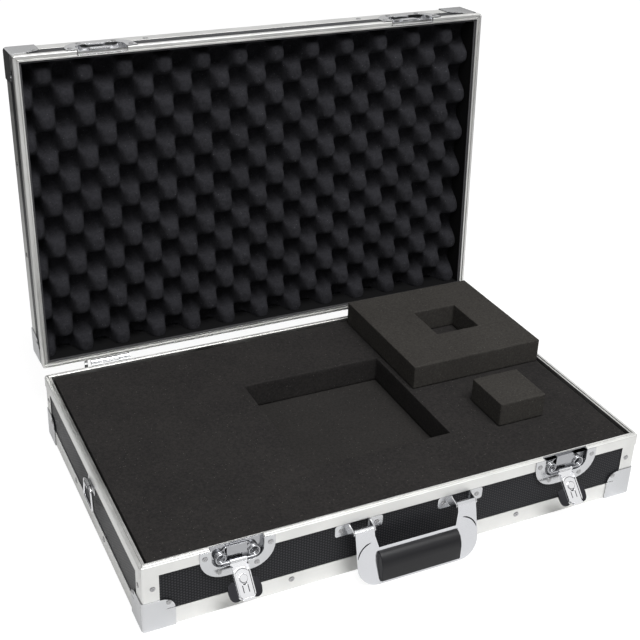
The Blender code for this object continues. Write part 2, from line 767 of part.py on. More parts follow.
def build_butterfly():
    """The turn handle: two wings, a hub through the arm and a crank for the hook."""
    centre = (0.0, TURN_AT)
    outline = []
    for side in (0.0, HALF_TURN):
        reach = WING_RADIUS - WING_CORNER
        for sign in (-1.0, 1.0):
            angle = math.radians(side + sign * WING_HALF_DEG)
            corner = (centre[0] + reach * math.cos(angle), centre[1] + reach * math.sin(angle))
            start = side + sign * WING_HALF_DEG + (-RIGHT_ANGLE if sign < 0 else 0.0)
            outline += arc(corner, WING_CORNER, start, start + RIGHT_ANGLE, WING_STEPS)
            if sign < 0:
                tip = (centre[0] + WING_RADIUS * math.cos(math.radians(side)), centre[1])
                outline.append(tip)
        waist = math.radians(side + RIGHT_ANGLE)
        outline.append((centre[0] + WING_WAIST * math.cos(waist), centre[1] + WING_WAIST * math.sin(waist)))
    wings = prism("wings", outline, WING_LOW, WING_HIGH, along_y)
    inset = SHEET / 8
    hub = circle(centre, HUB_RADIUS, ROUND_STEPS)
    wings = join(wings, prism("hub", hub, WING_HIGH - inset, HUB_FLANGE_HIGH - inset, along_y))
    flange = circle(centre, HUB_FLANGE_RADIUS, ROUND_STEPS)
    wings = join(wings, prism("flange", flange, HUB_FLANGE_LOW, HUB_FLANGE_HIGH, along_y))
    crank = circle((0.0, TURN_AT + CRANK_OFFSET), CRANK_RADIUS, ROUND_STEPS)
    return join(wings, prism("crank", crank, HUB_FLANGE_LOW + inset, CRANK_TOP, along_y))


def slot(name, start, end, half):
    """A cutter with round ends along the arm."""
    outline = arc((0.0, end), half, 0.0, HALF_TURN, 6)
    outline += arc((0.0, start), half, HALF_TURN, HALF_TURN + HALF_TURN, 6)
    return prism(name, outline, HOOK_LOW - CUT_OVER, HOOK_HIGH + CUT_OVER, along_y)


def build_hook():
    """The hook plate: a slotted slide with a bent nose."""
    side_deg = math.degrees(math.acos(HOOK_HALF / HOOK_CROWN))
    crown = (0.0, HOOK_START + HOOK_CROWN)
    outline = arc(crown, HOOK_CROWN, side_deg - HALF_TURN, -side_deg, DISH_STEPS)
    outline.append((HOOK_HALF, NOSE_START))
    shoulder = NOSE_START + HOOK_HALF - NOSE_HALF
    outline += [(NOSE_HALF, shoulder), (NOSE_HALF, HOOK_END), (-NOSE_HALF, HOOK_END)]
    outline += [(-NOSE_HALF, shoulder), (-HOOK_HALF, NOSE_START)]
    hook = prism("hook", outline, HOOK_LOW, HOOK_HIGH, along_y)
    inset = SHEET / 8
    bend = [(HOOK_HIGH - inset, HOOK_END - NOSE_SHEET), (NOSE_RISE - NOSE_LIP, HOOK_END - NOSE_SHEET)]
    bend += [(NOSE_RISE - NOSE_LIP, HOOK_END - NOSE_LIP_LONG), (NOSE_RISE, HOOK_END - NOSE_LIP_LONG)]
    bend += [(NOSE_RISE, HOOK_END - inset), (HOOK_HIGH - inset, HOOK_END - inset)]
    hook = join(hook, prism("nose", bend, inset - NOSE_HALF, NOSE_HALF - inset, along_x))
    hook = cut(hook, slot("guide", POST_AT, POST_AT + HOOK_TRAVEL, POST_RADIUS + GUIDE_SLACK))
    low = (-CRANK_SLOT_REACH, HOOK_LOW - CUT_OVER, TURN_AT + CRANK_OFFSET - CRANK_SLOT_HALF)
    high = (CRANK_SLOT_REACH, CRANK_SLOT_TOP, TURN_AT + CRANK_OFFSET + CRANK_SLOT_HALF)
    return cut(hook, box("crank", low, high))


def build_handle_frame():
    """The handle's U-shaped plate with its two rolled ends and the window of the grip."""
    half = HANDLE_HALF
    low = -HANDLE_LONG
    inner_top = half - HANDLE_LEG_TOP
    inner_low = half - HANDLE_LEG_LOW
    outline = [(-half, 0.0), (-half, low + HANDLE_RADIUS)]
    outline += arc(
        (HANDLE_RADIUS - half, low + HANDLE_RADIUS), HANDLE_RADIUS, HALF_TURN, HALF_TURN + RIGHT_ANGLE, 6
    )[1:]
    outline += arc((half - HANDLE_RADIUS, low + HANDLE_RADIUS), HANDLE_RADIUS, -RIGHT_ANGLE, 0.0, 6)
    outline += [(half, 0.0), (inner_top, 0.0), (inner_top, -HANDLE_STRAIGHT), (inner_low, -HANDLE_BAR_TOP)]
    outline += [(-inner_low, -HANDLE_BAR_TOP), (-inner_top, -HANDLE_STRAIGHT), (-inner_top, 0.0)]
    front = -HANDLE_OUT
    back = front + HANDLE_SHEET
    frame = prism("frame", outline, front, back, along_y)
    grow = GRIP_GAP
    low = (-GRIP_HALF - grow, -GRIP_LOW - grow)
    corners = rounded_box(low, (GRIP_HALF + grow, grow - GRIP_TOP), GRIP_GAP, 1)
    frame = cut(frame, prism("window", corners, front - CUT_OVER, back + CUT_OVER, along_y))
    roll = circle((0.0, 0.0), HANDLE_OUT, KNUCKLE_STEPS)
    bore = circle((0.0, 0.0), HANDLE_BORE, KNUCKLE_STEPS)
    inset = SHEET / 8
    for side in (-1.0, 1.0):
        edges = sorted((side * (inner_top + inset), side * (half - inset)))
        frame = join(frame, prism("roll", roll, edges[0], edges[1], along_x))
        frame = cut(frame, prism("bore", bore, edges[0] - CUT_OVER, edges[1] + CUT_OVER, along_x))
    return frame


def build_grip():
    """The moulded grip: steep at the top, long and flat towards the lower edge."""
    front = -HANDLE_OUT
    back = front + HANDLE_SHEET
    tall = GRIP_LOW - GRIP_TOP
    shares = ((0.0, 0.12), (0.05, 0.48), (0.17, 0.83), (0.34, 1.0), (0.52, 0.95), (0.97, 0.42), (1.0, 0.34))
    outline = [(front - GRIP_BULGE * out, -GRIP_TOP - tall * down) for down, out in shares]
    outline += [(back + GRIP_BACK, -GRIP_LOW), (back + GRIP_BACK, -GRIP_TOP)]
    return prism("grip", outline, -GRIP_HALF, GRIP_HALF, along_x)


def build_handle_bracket():
    """A plate with two cheeks pressed out of it, which hold the pin of one handle leg."""
    front = ANGLE_IN - BRACKET_SHEET
    low = (-BRACKET_HALF, BRACKET_LOW)
    outline = rounded_box(low, (BRACKET_HALF, BRACKET_HIGH), BRACKET_CORNER, SMALL_STEPS)
    bracket = prism("bracket", outline, front, ANGLE_IN, along_y)
    low = (-WINDOW_HALF, front - CUT_OVER, WINDOW_LOW)
    bracket = cut(bracket, box("window", low, (WINDOW_HALF, ANGLE_IN + CUT_OVER, BRACKET_HIGH + CUT_OVER)))
    root = ANGLE_IN - BRACKET_SHEET / 4
    for side in (-1.0, 1.0):
        edges = sorted((side * CHEEK_HALF, side * (CHEEK_HALF + CHEEK_SHEET)))
        cheek = [(root, BRACKET_LOW + SHEET), (-HANDLE_PIVOT_OUT, HANDLE_PIVOT_UP - CHEEK_ROUND)]
        first = -RIGHT_ANGLE - RIGHT_ANGLE / 3
        last = -HALF_TURN - RIGHT_ANGLE / 2
        cheek += arc((-HANDLE_PIVOT_OUT, HANDLE_PIVOT_UP), CHEEK_ROUND, first, last, DISH_STEPS)
        cheek += [(root, BRACKET_HIGH - SHEET / 4)]
        bracket = join(bracket, prism("cheek", cheek, edges[0], edges[1], along_x))
    pin = circle((-HANDLE_PIVOT_OUT, HANDLE_PIVOT_UP), HANDLE_PIN, KNUCKLE_STEPS)
    reach = CHEEK_HALF + CHEEK_SHEET / 2
    return join(bracket, prism("pin", pin, -reach, reach, along_x))


def build_hinge_leaf(upward):
    """One leaf with its knuckles, in the frame of the hinge pin: Y points away from the case."""
    face = -HINGE_OUT + SEAT_GAP
    sign = 1.0 if upward else -1.0
    drop = sign * HINGE_DROP
    high = (HINGE_HALF, face + HINGE_LEAF, max(0.0, drop))
    leaf = box("leaf", (-HINGE_HALF, face, min(0.0, drop)), high)
    plane = PARTING_GAP - HINGE_UP if upward else -HINGE_UP
    start = plane + sign * (RIM_LEG + SEAT_GAP)
    end = plane + LID_HEIGHT - ANGLE_LEG - SEAT_GAP if upward else SHEET / 4 - HINGE_DROP
    inset = SHEET / 4
    pad_low = (inset - HINGE_HALF, -HINGE_OUT - ANGLE_IN, min(start, end))
    leaf = join(leaf, box("pad", pad_low, (HINGE_HALF - inset, face + inset, max(start, end))))
    knuckle = circle((0.0, 0.0), HINGE_ROUND, KNUCKLE_STEPS)
    spans = [(-HINGE_KNUCKLE_HALF, HINGE_KNUCKLE_HALF)]
    gap = HINGE_KNUCKLE_HALF + HINGE_GAP
    if not upward:
        spans = [(inset - HINGE_HALF, -gap), (gap, HINGE_HALF - inset)]
        clear = (-gap, face - inset, -HINGE_ROUND - HINGE_GAP - HINGE_GAP)
        leaf = cut(leaf, box("clear", clear, (gap, HINGE_ROUND, CUT_OVER)))
    else:
        for side in (-1.0, 1.0):
            edges = sorted((side * HINGE_KNUCKLE_HALF, side * (HINGE_HALF + CUT_OVER)))
            low = (edges[0], face - inset, -CUT_OVER)
            high = (edges[1], HINGE_ROUND, HINGE_ROUND + HINGE_GAP + HINGE_GAP)
            leaf = cut(leaf, box("clear", low, high))
    for start, end in spans:
        leaf = join(leaf, prism("knuckle", knuckle, start, end, along_x))
    if upward:
        bore = circle((0.0, 0.0), HINGE_BORE, KNUCKLE_STEPS)
        return cut(leaf, prism("bore", bore, -HINGE_HALF, HINGE_HALF, along_x))
    pin = circle((0.0, 0.0), HINGE_PIN, KNUCKLE_STEPS)
    return join(leaf, prism("pin", pin, -gap - inset, gap + inset, along_x))


def add_stop_lug(leaf, side):
    """Stand the lug that the open lid comes to rest on beside the base leaf."""
    face = -HINGE_OUT + SEAT_GAP
    edges = sorted((side * LUG_START, side * LUG_END))
    lug = box("lug", (edges[0], -LUG_FRONT, -HINGE_DROP / 2), (edges[1], LUG_BACK, LUG_TOP))
    reach = sorted((side * (HINGE_HALF - SHEET), side * (LUG_END - SHEET / 4)))
    low = (reach[0], face + SHEET / 4, -HINGE_DROP + SHEET)
    foot = box("foot", low, (reach[1], LUG_BACK - SHEET / 4, -HINGE_DROP / 2 + SHEET))
    return join(join(leaf, foot), lug)


def build_loop():
    """The strap bracket for one end wall, in a frame whose X points away from the wall's outermost face."""
    low = (-LOOP_PLATE_HALF, LOOP_PLATE_LOW)
    plate = rounded_box(low, (LOOP_PLATE_HALF, LOOP_PLATE_HIGH), BRACKET_CORNER, SMALL_STEPS)
    bracket = prism("plate", plate, -ANGLE_IN, BRACKET_SHEET - ANGLE_IN, along_x)
    roll = circle((RING_OUT, RING_UP), LOOP_ROUND, KNUCKLE_STEPS)
    bracket = join(bracket, prism("roll", roll, -LOOP_HALF, LOOP_HALF, along_y))
    neck = LOOP_ROUND - SHEET
    low = (-ANGLE_IN + SHEET / 4, SHEET / 4 - LOOP_HALF, RING_UP - neck)
    bracket = join(bracket, box("neck", low, (RING_OUT, LOOP_HALF - SHEET / 4, RING_UP + neck)))
    bore = circle((RING_OUT, RING_UP), LOOP_BORE, KNUCKLE_STEPS)
    return cut(bracket, prism("bore", bore, -LOOP_HALF - CUT_OVER, LOOP_HALF + CUT_OVER, along_y))


def build_ring():
    """The strap ring, hanging from its upper bar at the origin in the plane of Y and Z."""
    bend = RING_BEND
    points = []
    top, low = RING_HALF_TOP, RING_HALF_LOW
    for centre, start in (
        ((low - bend, bend - RING_DROP), -RIGHT_ANGLE),
        ((top - bend, -bend), 0.0),
        ((bend - top, -bend), RIGHT_ANGLE),
        ((bend - low, bend - RING_DROP), HALF_TURN),
    ):
        points += arc(centre, bend, start, start + RIGHT_ANGLE, 4)
    line = [(0.0, y, z) for y, z in points]
    return tube("ring", line, RING_WIRE, RING_SIDES, True)


def wave_lines(half, pitch, start):
    """Grid lines from edge to edge, with one on each peak, hollow and middle of the waves."""
    step = pitch / EGG_CELLS
    first = math.ceil((-half - start) / step)
    last = math.floor((half - start) / step)
    inner = [start + index * step for index in range(first, last + 1)]
    return [-half, *[place for place in inner if half - abs(place) > EGG_EDGE], half]


def build_egg_crate():
    """The lid's foam: a flat back and a face of rounded peaks and hollows, in tray coordinates."""
    floor = PANEL_IN + SEAT_GAP + FOAM_GAP
    xs = wave_lines(WIDTH / 2 - EGG_INSET, EGG_PITCH_X, EGG_START_X)
    ys = wave_lines(DEPTH / 2 - EGG_INSET, EGG_PITCH_Y, EGG_START_Y)
    vertices = []
    for y in ys:
        for x in xs:
            phase_x = math.radians((HALF_TURN + HALF_TURN) * (x - EGG_START_X) / EGG_PITCH_X)
            phase_y = math.radians((HALF_TURN + HALF_TURN) * (y - EGG_START_Y) / EGG_PITCH_Y)
            height = EGG_MIDDLE + EGG_SWING * math.cos(phase_x) * math.cos(phase_y)
            vertices.append((x, DEPTH / 2 + y, height))
    width = len(xs)
    faces = []
    for row in range(len(ys) - 1):
        for column in range(width - 1):
            first = row * width + column
            faces.append([first, first + 1, first + width + 1, first + width])
    edge = list(range(width))
    edge += [row * width + width - 1 for row in range(1, len(ys))]
    edge += [(len(ys) - 1) * width + column for column in range(width - 2, -1, -1)]
    edge += [row * width for row in range(len(ys) - 2, 0, -1)]
    start = len(vertices)
    vertices += [(vertices[index][0], vertices[index][1], floor) for index in edge]
    count = len(edge)
    for index in range(count):
        after = (index + 1) % count
        faces.append([edge[index], edge[after], start + after, start + index])
    faces.append(list(range(start, start + count)))
    return add_solid("egg", vertices, faces)


def build_tray(prefix, height, sides, corners, has_tongue, dish):
    """The panels, profiles, angles, posts and caps of one tray, cut out for its dishes."""
    pieces = {}
    low = PANEL_OUT
    high = PANEL_IN
    name = "floor_panel" if has_tongue else "top_panel"
    pieces[prefix + name] = (slab("floor", PANEL_OUT, low, high), LAMINATE)
    wall = ring("wall", band(PANEL_OUT, PANEL_IN, high + SEAT_GAP, height - RIM_WEB - SEAT_GAP))
    near_rim = build_rim(height, 0, has_tongue)
    far_side = Matrix.Translation((0.0, DEPTH, 0.0)) @ Matrix.Rotation(math.pi, 4, "Z")
    dish_side = Matrix.Identity(4) if has_tongue else far_side
    latch_rim = near_rim if has_tongue else build_rim(height, 2, has_tongue)
    for number, side in enumerate((-1.0, 1.0)):
        place = dish_side @ Matrix.Translation((side * LATCH_SPAN / 2, 0.0, 0.0))
        wall = cut(wall, move_points(dish_clearance(height, LIP_IN + CUT_OVER), place))
        latch_rim = cut(latch_rim, move_points(dish_clearance(height, LIP_OUT - LIP_LEDGE), place))
        at_left = side < 0 if has_tongue else side > 0
        hand = "left" if at_left else "right"
        kind = "latch_dish_" if has_tongue else "latch_catch_"
        pieces[kind + hand] = (copy_solid(dish, place), STEEL)
    bpy.data.objects.remove(dish)
    pieces[prefix + "wall_frame"] = (wall, LAMINATE)
    pieces[prefix + "edge_frame"] = (build_edge_frame(), ALUMINIUM)
    rims = [near_rim, build_rim(height, 1, has_tongue), None, build_rim(height, 3, has_tongue)]
    rims[2] = build_rim(height, 2, has_tongue) if has_tongue else latch_rim
    for side, rim in zip(sides, rims):
        pieces[prefix + "rim_" + side] = (rim, ALUMINIUM)
    post = build_post(height)
    cap = build_cap()
    for corner, (side_x, side_y) in enumerate(CORNERS):
        at = (side_x * WIDTH / 2, DEPTH / 2 + side_y * DEPTH / 2, 0.0)
        place = Matrix.Translation(at) @ Matrix.Rotation(corner * math.pi / 2, 4, "Z")
        pieces[prefix + "corner_post_" + corners[corner]] = (copy_solid(post, place), ALUMINIUM)
        pieces[prefix + "corner_cap_" + corners[corner]] = (copy_solid(cap, place), STEEL)
    bpy.data.objects.remove(post)
    bpy.data.objects.remove(cap)
    return [name_solid(solid, name, finish) for name, (solid, finish) in pieces.items()]


def add_pivot(name, at, turned):
    """An empty on a joint's axis, turned about X by this many degrees."""
    pivot = bpy.data.objects.new(name, None)
    bpy.context.scene.collection.objects.link(pivot)
    pivot.matrix_world = Matrix.Translation(at) @ Matrix.Rotation(math.radians(turned), 4, "X")
    return pivot


def hang(solid, pivot, offset):
    """Hang a solid on a pivot, with its points kept in the pivot's frame after this move."""
    move_points(solid, Matrix.Translation(offset))
    solid.parent = pivot
    return solid


def build_foam():
    """The pad, the pick foam with its pocket, the plucked block with its hole, and the plucked cube."""
    pad = slab("pad", PAD_INSET, PANEL_IN + SEAT_GAP + FOAM_GAP, PAD_TOP)
    name_solid(pad, "foam_base_pad", DARK_FOAM)
    half = WIDTH / 2 - PICK_INSET
    outline = rounded_box((-half, PICK_INSET), (half, DEPTH - PICK_INSET), FOAM_CORNER, 2)
    foam = prism("foam", outline, PICK_LOW, PICK_TOP, along_z)
    low = (POCKET_LEFT, POCKET_FRONT, PICK_LOW - CUT_OVER)
    high = (POCKET_LEFT + POCKET_SIZE, POCKET_FRONT + POCKET_SIZE, PICK_TOP + CUT_OVER)
    name_solid(cut(foam, box("pocket", low, high)), "pick_foam", PICK_FOAM)
    rest = PICK_TOP + FOAM_GAP
    top = rest + BLOCK_TALL
    high = (BLOCK_LEFT + BLOCK_SIZE, BLOCK_FRONT + BLOCK_SIZE, top)
    block = box("block", (BLOCK_LEFT, BLOCK_FRONT, rest), high)
    low = (HOLE_LEFT, HOLE_FRONT, rest - CUT_OVER)
    high = (HOLE_LEFT + HOLE_SIZE, HOLE_FRONT + HOLE_SIZE, top + CUT_OVER)
    name_solid(cut(block, box("hole", low, high)), "foam_block", PICK_FOAM)
    high = (CUBE_LEFT + CUBE_SIZE, CUBE_FRONT + CUBE_SIZE, rest + CUBE_TALL)
    name_solid(box("cube", (CUBE_LEFT, CUBE_FRONT, rest), high), "foam_cube", PICK_FOAM)


def build_latches():
    """Both springs, arms, turn handles and hooks, with the arms sprung out."""
    points = spring_points(BASE_HEIGHT)
    report_spring_gap(points)
    for hand, side in (("left", -1.0), ("right", 1.0)):
        at_x = side * LATCH_SPAN / 2
        spring = tube("spring", points, WIRE / 2, WIRE_SIDES, False)
        move_points(spring, Matrix.Translation((at_x, 0.0, 0.0)))
        name_solid(spring, "latch_spring_" + hand, STEEL)
        at = (at_x, PIVOT_IN, BASE_HEIGHT - PIVOT_DOWN)
        pivot = add_pivot("pivot_latch_" + hand, at, HALF_TURN - ARM_HANG_DEG)
        turn = add_pivot("pivot_butterfly_" + hand, (0.0, 0.0, TURN_AT), 0.0)
        turn.parent = pivot
        hang(name_solid(build_arm(), "latch_arm_" + hand, STEEL), pivot, (0.0, 0.0, 0.0))
        hang(name_solid(build_hook(), "latch_hook_" + hand, STEEL), pivot, (0.0, 0.0, 0.0))
        wings = name_solid(build_butterfly(), "latch_butterfly_" + hand, DARK_STEEL)
        hang(wings, turn, (0.0, 0.0, -TURN_AT))


def build_handle():
    """The carrying handle, hanging until it rests on the table, and its two brackets."""
    at = (0.0, -HANDLE_PIVOT_OUT, HANDLE_PIVOT_UP)
    back = HANDLE_OUT - HANDLE_SHEET
    reach = math.hypot(HANDLE_LONG, back)
    drop = min(reach, HANDLE_PIVOT_UP - HANDLE_TABLE_GAP)
    hang_deg = math.degrees(math.acos(drop / reach) - math.atan2(back, HANDLE_LONG))
    pivot = add_pivot("pivot_handle", at, -max(0.0, hang_deg))
    hang(name_solid(build_handle_frame(), "handle_frame", STEEL), pivot, (0.0, 0.0, 0.0))
    hang(name_solid(build_grip(), "handle_grip", MOULDED), pivot, (0.0, 0.0, 0.0))
    for hand, side in (("left", -1.0), ("right", 1.0)):
        beside = Matrix.Translation((side * BRACKET_SPAN / 2, 0.0, 0.0))
        name_solid(move_points(build_handle_bracket(), beside), "handle_bracket_" + hand, STEEL)


def build_straps():
    """A bracket and a ring on each end wall."""
    for hand, side in (("left", -1.0), ("right", 1.0)):
        turn = Matrix.Rotation(math.pi if side < 0 else 0.0, 4, "Z")
        place = Matrix.Translation((side * WIDTH / 2, RING_AT, 0.0)) @ turn
        name_solid(move_points(build_loop(), place), "strap_bracket_" + hand, STEEL)
        at = (side * (WIDTH / 2 + RING_OUT), RING_AT, RING_UP)
        pivot = add_pivot("pivot_strap_" + hand, at, 0.0)
        hang(name_solid(build_ring(), "strap_ring_" + hand, STEEL), pivot, (0.0, 0.0, 0.0))


def build_hinges():
    """The leaves on the base, and the leaves on the lid in its closed place."""
    lid_leaves = []
    for hand, side in (("left", -1.0), ("right", 1.0)):
        place = Matrix.Translation((side * HINGE_AT, HINGE_AXIS[1], HINGE_AXIS[2]))
        lower = add_stop_lug(build_hinge_leaf(False), side)
        name_solid(move_points(lower, place), "hinge_base_leaf_" + hand, STEEL)
        upper = move_points(build_hinge_leaf(True), place)
        lid_leaves.append(name_solid(upper, "hinge_lid_leaf_" + hand, STEEL))
    return lid_leaves


def build_lid():
    """The lid in its closed place: its tray turned over, with lining and egg-crate foam."""
    dish = add_keeper(build_dish(LID_HEIGHT), LID_HEIGHT)
    solids = build_tray("lid_", LID_HEIGHT, LID_SIDES, LID_CORNER_NAMES, False, dish)
    lining = ring("lining", band(LINING_OUT, LINING_IN, LINING_LOW, LINING_HIGH))
    solids.append(name_solid(lining, "lid_lining", MOULDED))
    solids.append(name_solid(build_egg_crate(), "egg_crate_foam", DARK_FOAM))
    turned = Matrix.Translation((0.0, DEPTH, CLOSED_HEIGHT)) @ Matrix.Rotation(math.pi, 4, "X")
    for solid in solids:
        move_points(solid, turned)
    return solids


def centre_case():
    """Move the whole case so that its box stands centred on the origin."""
    bpy.context.view_layer.update()
    lows = []
    highs = []
    for solid in bpy.context.scene.objects:
        if solid.type != "MESH":
            continue
        ys = [(solid.matrix_world @ vertex.co).y for vertex in solid.data.vertices]
        lows.append(min(ys))
        highs.append(max(ys))
    middle = (min(lows) + max(highs)) / 2
    shift = Matrix.Translation((0.0, -middle, 0.0))
    for thing in bpy.context.scene.objects:
        if thing.parent:
            continue
        if thing.type == "EMPTY":
            thing.matrix_world = shift @ thing.matrix_world
        else:
            move_points(thing, shift)
    bpy.context.view_layer.update()
    print("case frame moved in Y by mm", round(-middle / MM, 4))


def build():
    """Clear the scene and build the whole case."""
    for thing in list(bpy.data.objects):
        bpy.data.objects.remove(thing)
    dish = add_strap(build_dish(BASE_HEIGHT), BASE_HEIGHT)
    build_tray("base_", BASE_HEIGHT, SIDES, CORNER_NAMES, True, dish)
    build_foam()
    build_latches()
    build_handle()
    build_straps()
    lid = build_lid() + build_hinges()
    pivot = add_pivot("pivot_lid", HINGE_AXIS, -LID_OPEN_DEG)
    for solid in lid:
        hang(solid, pivot, (-HINGE_AXIS[0], -HINGE_AXIS[1], -HINGE_AXIS[2]))
    centre_case()


build()
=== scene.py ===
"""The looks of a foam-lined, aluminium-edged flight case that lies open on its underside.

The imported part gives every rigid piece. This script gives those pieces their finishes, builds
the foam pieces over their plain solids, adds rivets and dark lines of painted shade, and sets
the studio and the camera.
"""

from __future__ import annotations

import json
import logging
import math
from dataclasses import dataclass
from enum import Enum
from typing import ClassVar, Iterable, NamedTuple, Optional, Sequence, Union

import bmesh
import bpy
from mathutils import Matrix, Vector, noise

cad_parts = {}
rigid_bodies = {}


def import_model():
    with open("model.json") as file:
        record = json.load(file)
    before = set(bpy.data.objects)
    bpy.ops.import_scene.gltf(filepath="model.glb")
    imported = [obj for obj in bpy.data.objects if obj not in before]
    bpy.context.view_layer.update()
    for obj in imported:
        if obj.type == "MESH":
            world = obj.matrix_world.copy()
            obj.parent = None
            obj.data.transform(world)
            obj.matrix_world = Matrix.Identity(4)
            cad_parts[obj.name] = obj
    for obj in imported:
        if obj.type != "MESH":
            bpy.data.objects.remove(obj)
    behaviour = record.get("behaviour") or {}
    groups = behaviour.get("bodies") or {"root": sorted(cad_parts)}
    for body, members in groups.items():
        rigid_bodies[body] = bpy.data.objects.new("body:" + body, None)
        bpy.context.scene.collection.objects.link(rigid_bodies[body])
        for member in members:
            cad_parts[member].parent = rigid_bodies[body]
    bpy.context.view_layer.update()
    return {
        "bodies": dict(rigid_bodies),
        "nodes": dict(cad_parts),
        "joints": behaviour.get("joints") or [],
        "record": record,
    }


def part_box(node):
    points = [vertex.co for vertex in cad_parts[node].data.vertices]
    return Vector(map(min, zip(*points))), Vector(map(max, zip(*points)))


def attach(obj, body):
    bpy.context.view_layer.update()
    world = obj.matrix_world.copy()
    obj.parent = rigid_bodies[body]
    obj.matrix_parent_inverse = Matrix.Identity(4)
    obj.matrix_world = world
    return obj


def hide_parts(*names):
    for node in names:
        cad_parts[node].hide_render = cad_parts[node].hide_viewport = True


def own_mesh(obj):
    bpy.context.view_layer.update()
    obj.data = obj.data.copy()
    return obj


MM = 0.001
LOG = logging.getLogger("flight_case")

Colour = tuple[float, float, float, float]
Triple = tuple[float, float, float]
Pair = tuple[float, float]
Rectangle = tuple[float, float, float, float]
Material = bpy.types.Material
Mesh = bpy.types.Mesh
Node = bpy.types.Node
Piece = bpy.types.Object
Socket = bpy.types.NodeSocket
SocketValue = Union[float, int, Sequence[float], Socket, Material]

WHITE: Colour = (1.0, 1.0, 1.0, 1.0)
HANDS = (("left", -1), ("right", 1))
SHARP_DEG = 50.0


# Meshes


def new_object(name: str, mesh: Mesh) -> Piece:
    """Puts a mesh in the scene as an object at the origin.

    Args:
        name: the piece's name.
        mesh: its mesh, already in place.

    Returns:
        The new object.
    """
    piece = bpy.data.objects.new(name, mesh)
    bpy.context.scene.collection.objects.link(piece)
    return piece


def mesh_from(name: str, points: Iterable[Sequence[float]], faces: Iterable[Sequence[int]]) -> Mesh:
    """Makes a mesh of points and faces, with its faces turned outwards.

    Args:
        name: the mesh's name.
        points: its points.
        faces: the point numbers of each face.

    Returns:
        The new mesh.
    """
    mesh = bpy.data.meshes.new(name)
    mesh.from_pydata([tuple(point) for point in points], [], [tuple(face) for face in faces])
    shape = bmesh.new()
    shape.from_mesh(mesh)
    bmesh.ops.recalc_face_normals(shape, faces=shape.faces)
    shape.to_mesh(mesh)
    shape.free()
    return mesh


def swept(name: str, rings: Sequence[Sequence[Vector]]) -> Mesh:
    """Joins closed rings of points, one after the other, into a solid with closed ends.

    Args:
        name: the mesh's name.
        rings: the rings, all with the same number of points.

    Returns:
        The mesh.
    """
    count = len(rings[0])
    last = (len(rings) - 1) * count
    faces: list[list[int]] = []
    for near in range(0, last, count):
        for step in range(count):
            after = (step + 1) % count
            faces.append([near + step, near + after, near + count + after, near + count + step])
    faces += [list(range(count)), list(range(last, last + count))]
    return mesh_from(name, [point for ring in rings for point in ring], faces)


def box_mesh(name: str, boxes: Sequence[tuple[Vector, Vector]], place: Matrix) -> Mesh:
    """Makes closed boxes as one mesh.

    Args:
        name: the mesh's name.
        boxes: each box's lowest and highest corner.
        place: from the boxes' own coordinates to the world.

    Returns:
        The mesh.
    """
    points: list[Vector] = []
    faces: list[list[int]] = []
    ends = [[0, 3, 2, 1], [4, 5, 6, 7]]
    sides = ends + [[n, (n + 1) % 4, (n + 1) % 4 + 4, n + 4] for n in range(4)]
    for low, high in boxes:
        faces += [[len(points) + corner for corner in side] for side in sides]
        for z in (low.z, high.z):
            for x, y in ((low.x, low.y), (high.x, low.y), (high.x, high.y), (low.x, high.y)):
                points.append(place @ Vector((x, y, z)))
    return mesh_from(name, points, faces)


def evaluated_mesh(piece: Piece, name: str) -> Mesh:
    """Gives the mesh that an object's modifiers make.

    Args:
        piece: the object with its modifiers.
        name: the new mesh's name.

    Returns:
        A plain mesh that no modifier is tied to.
    """
    graph = bpy.context.evaluated_depsgraph_get()
    mesh = bpy.data.meshes.new_from_object(piece.evaluated_get(graph), depsgraph=graph)
    mesh.name = name
    return mesh


def ease_edges(
    piece: Piece, width: float, crease_deg: float, slide: bool = True, flat: bool = False
) -> None:
    """Bevels a piece's sharp edges into its mesh.

    Args:
        piece: the piece, which gets a new mesh.
        width: the bevel's width.
        crease_deg: the angle from which an edge counts as sharp.
        slide: whether the bevel's corners slide along the edges beside it.
        flat: whether flat faces are shaded flat.
    """
    bevel = piece.modifiers.new("eased edges", "BEVEL")
    bevel.width = width
    bevel.segments = 2
    bevel.limit_method = "ANGLE"
    bevel.angle_limit = math.radians(crease_deg)
    bevel.loop_slide = slide
    if flat:
        piece.modifiers.new("flat faces stay flat", "WEIGHTED_NORMAL").keep_sharp = False
    piece.data = evaluated_mesh(piece, piece.name)
    piece.modifiers.clear()


def seat(piece: Piece, finish: Material, body: str, node: Optional[str] = None) -> Piece:
    """Gives a piece its finish, its body and the solid that it stands for.

    Args:
        piece: the piece.
        finish: its material.
        body: the body that it rides on.
        node: the solid that it replaces, if any.

    Returns:
        The piece.
    """
    piece.data.materials.clear()
    piece.data.materials.append(finish)
    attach(piece, body)
    if node is not None:
        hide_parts(node)
    return piece


# Node trees


class Ramp(NamedTuple):
    """A value's range, and what its two ends turn into."""

    start: float
    end: float
    low: float = 0.0
    high: float = 1.0


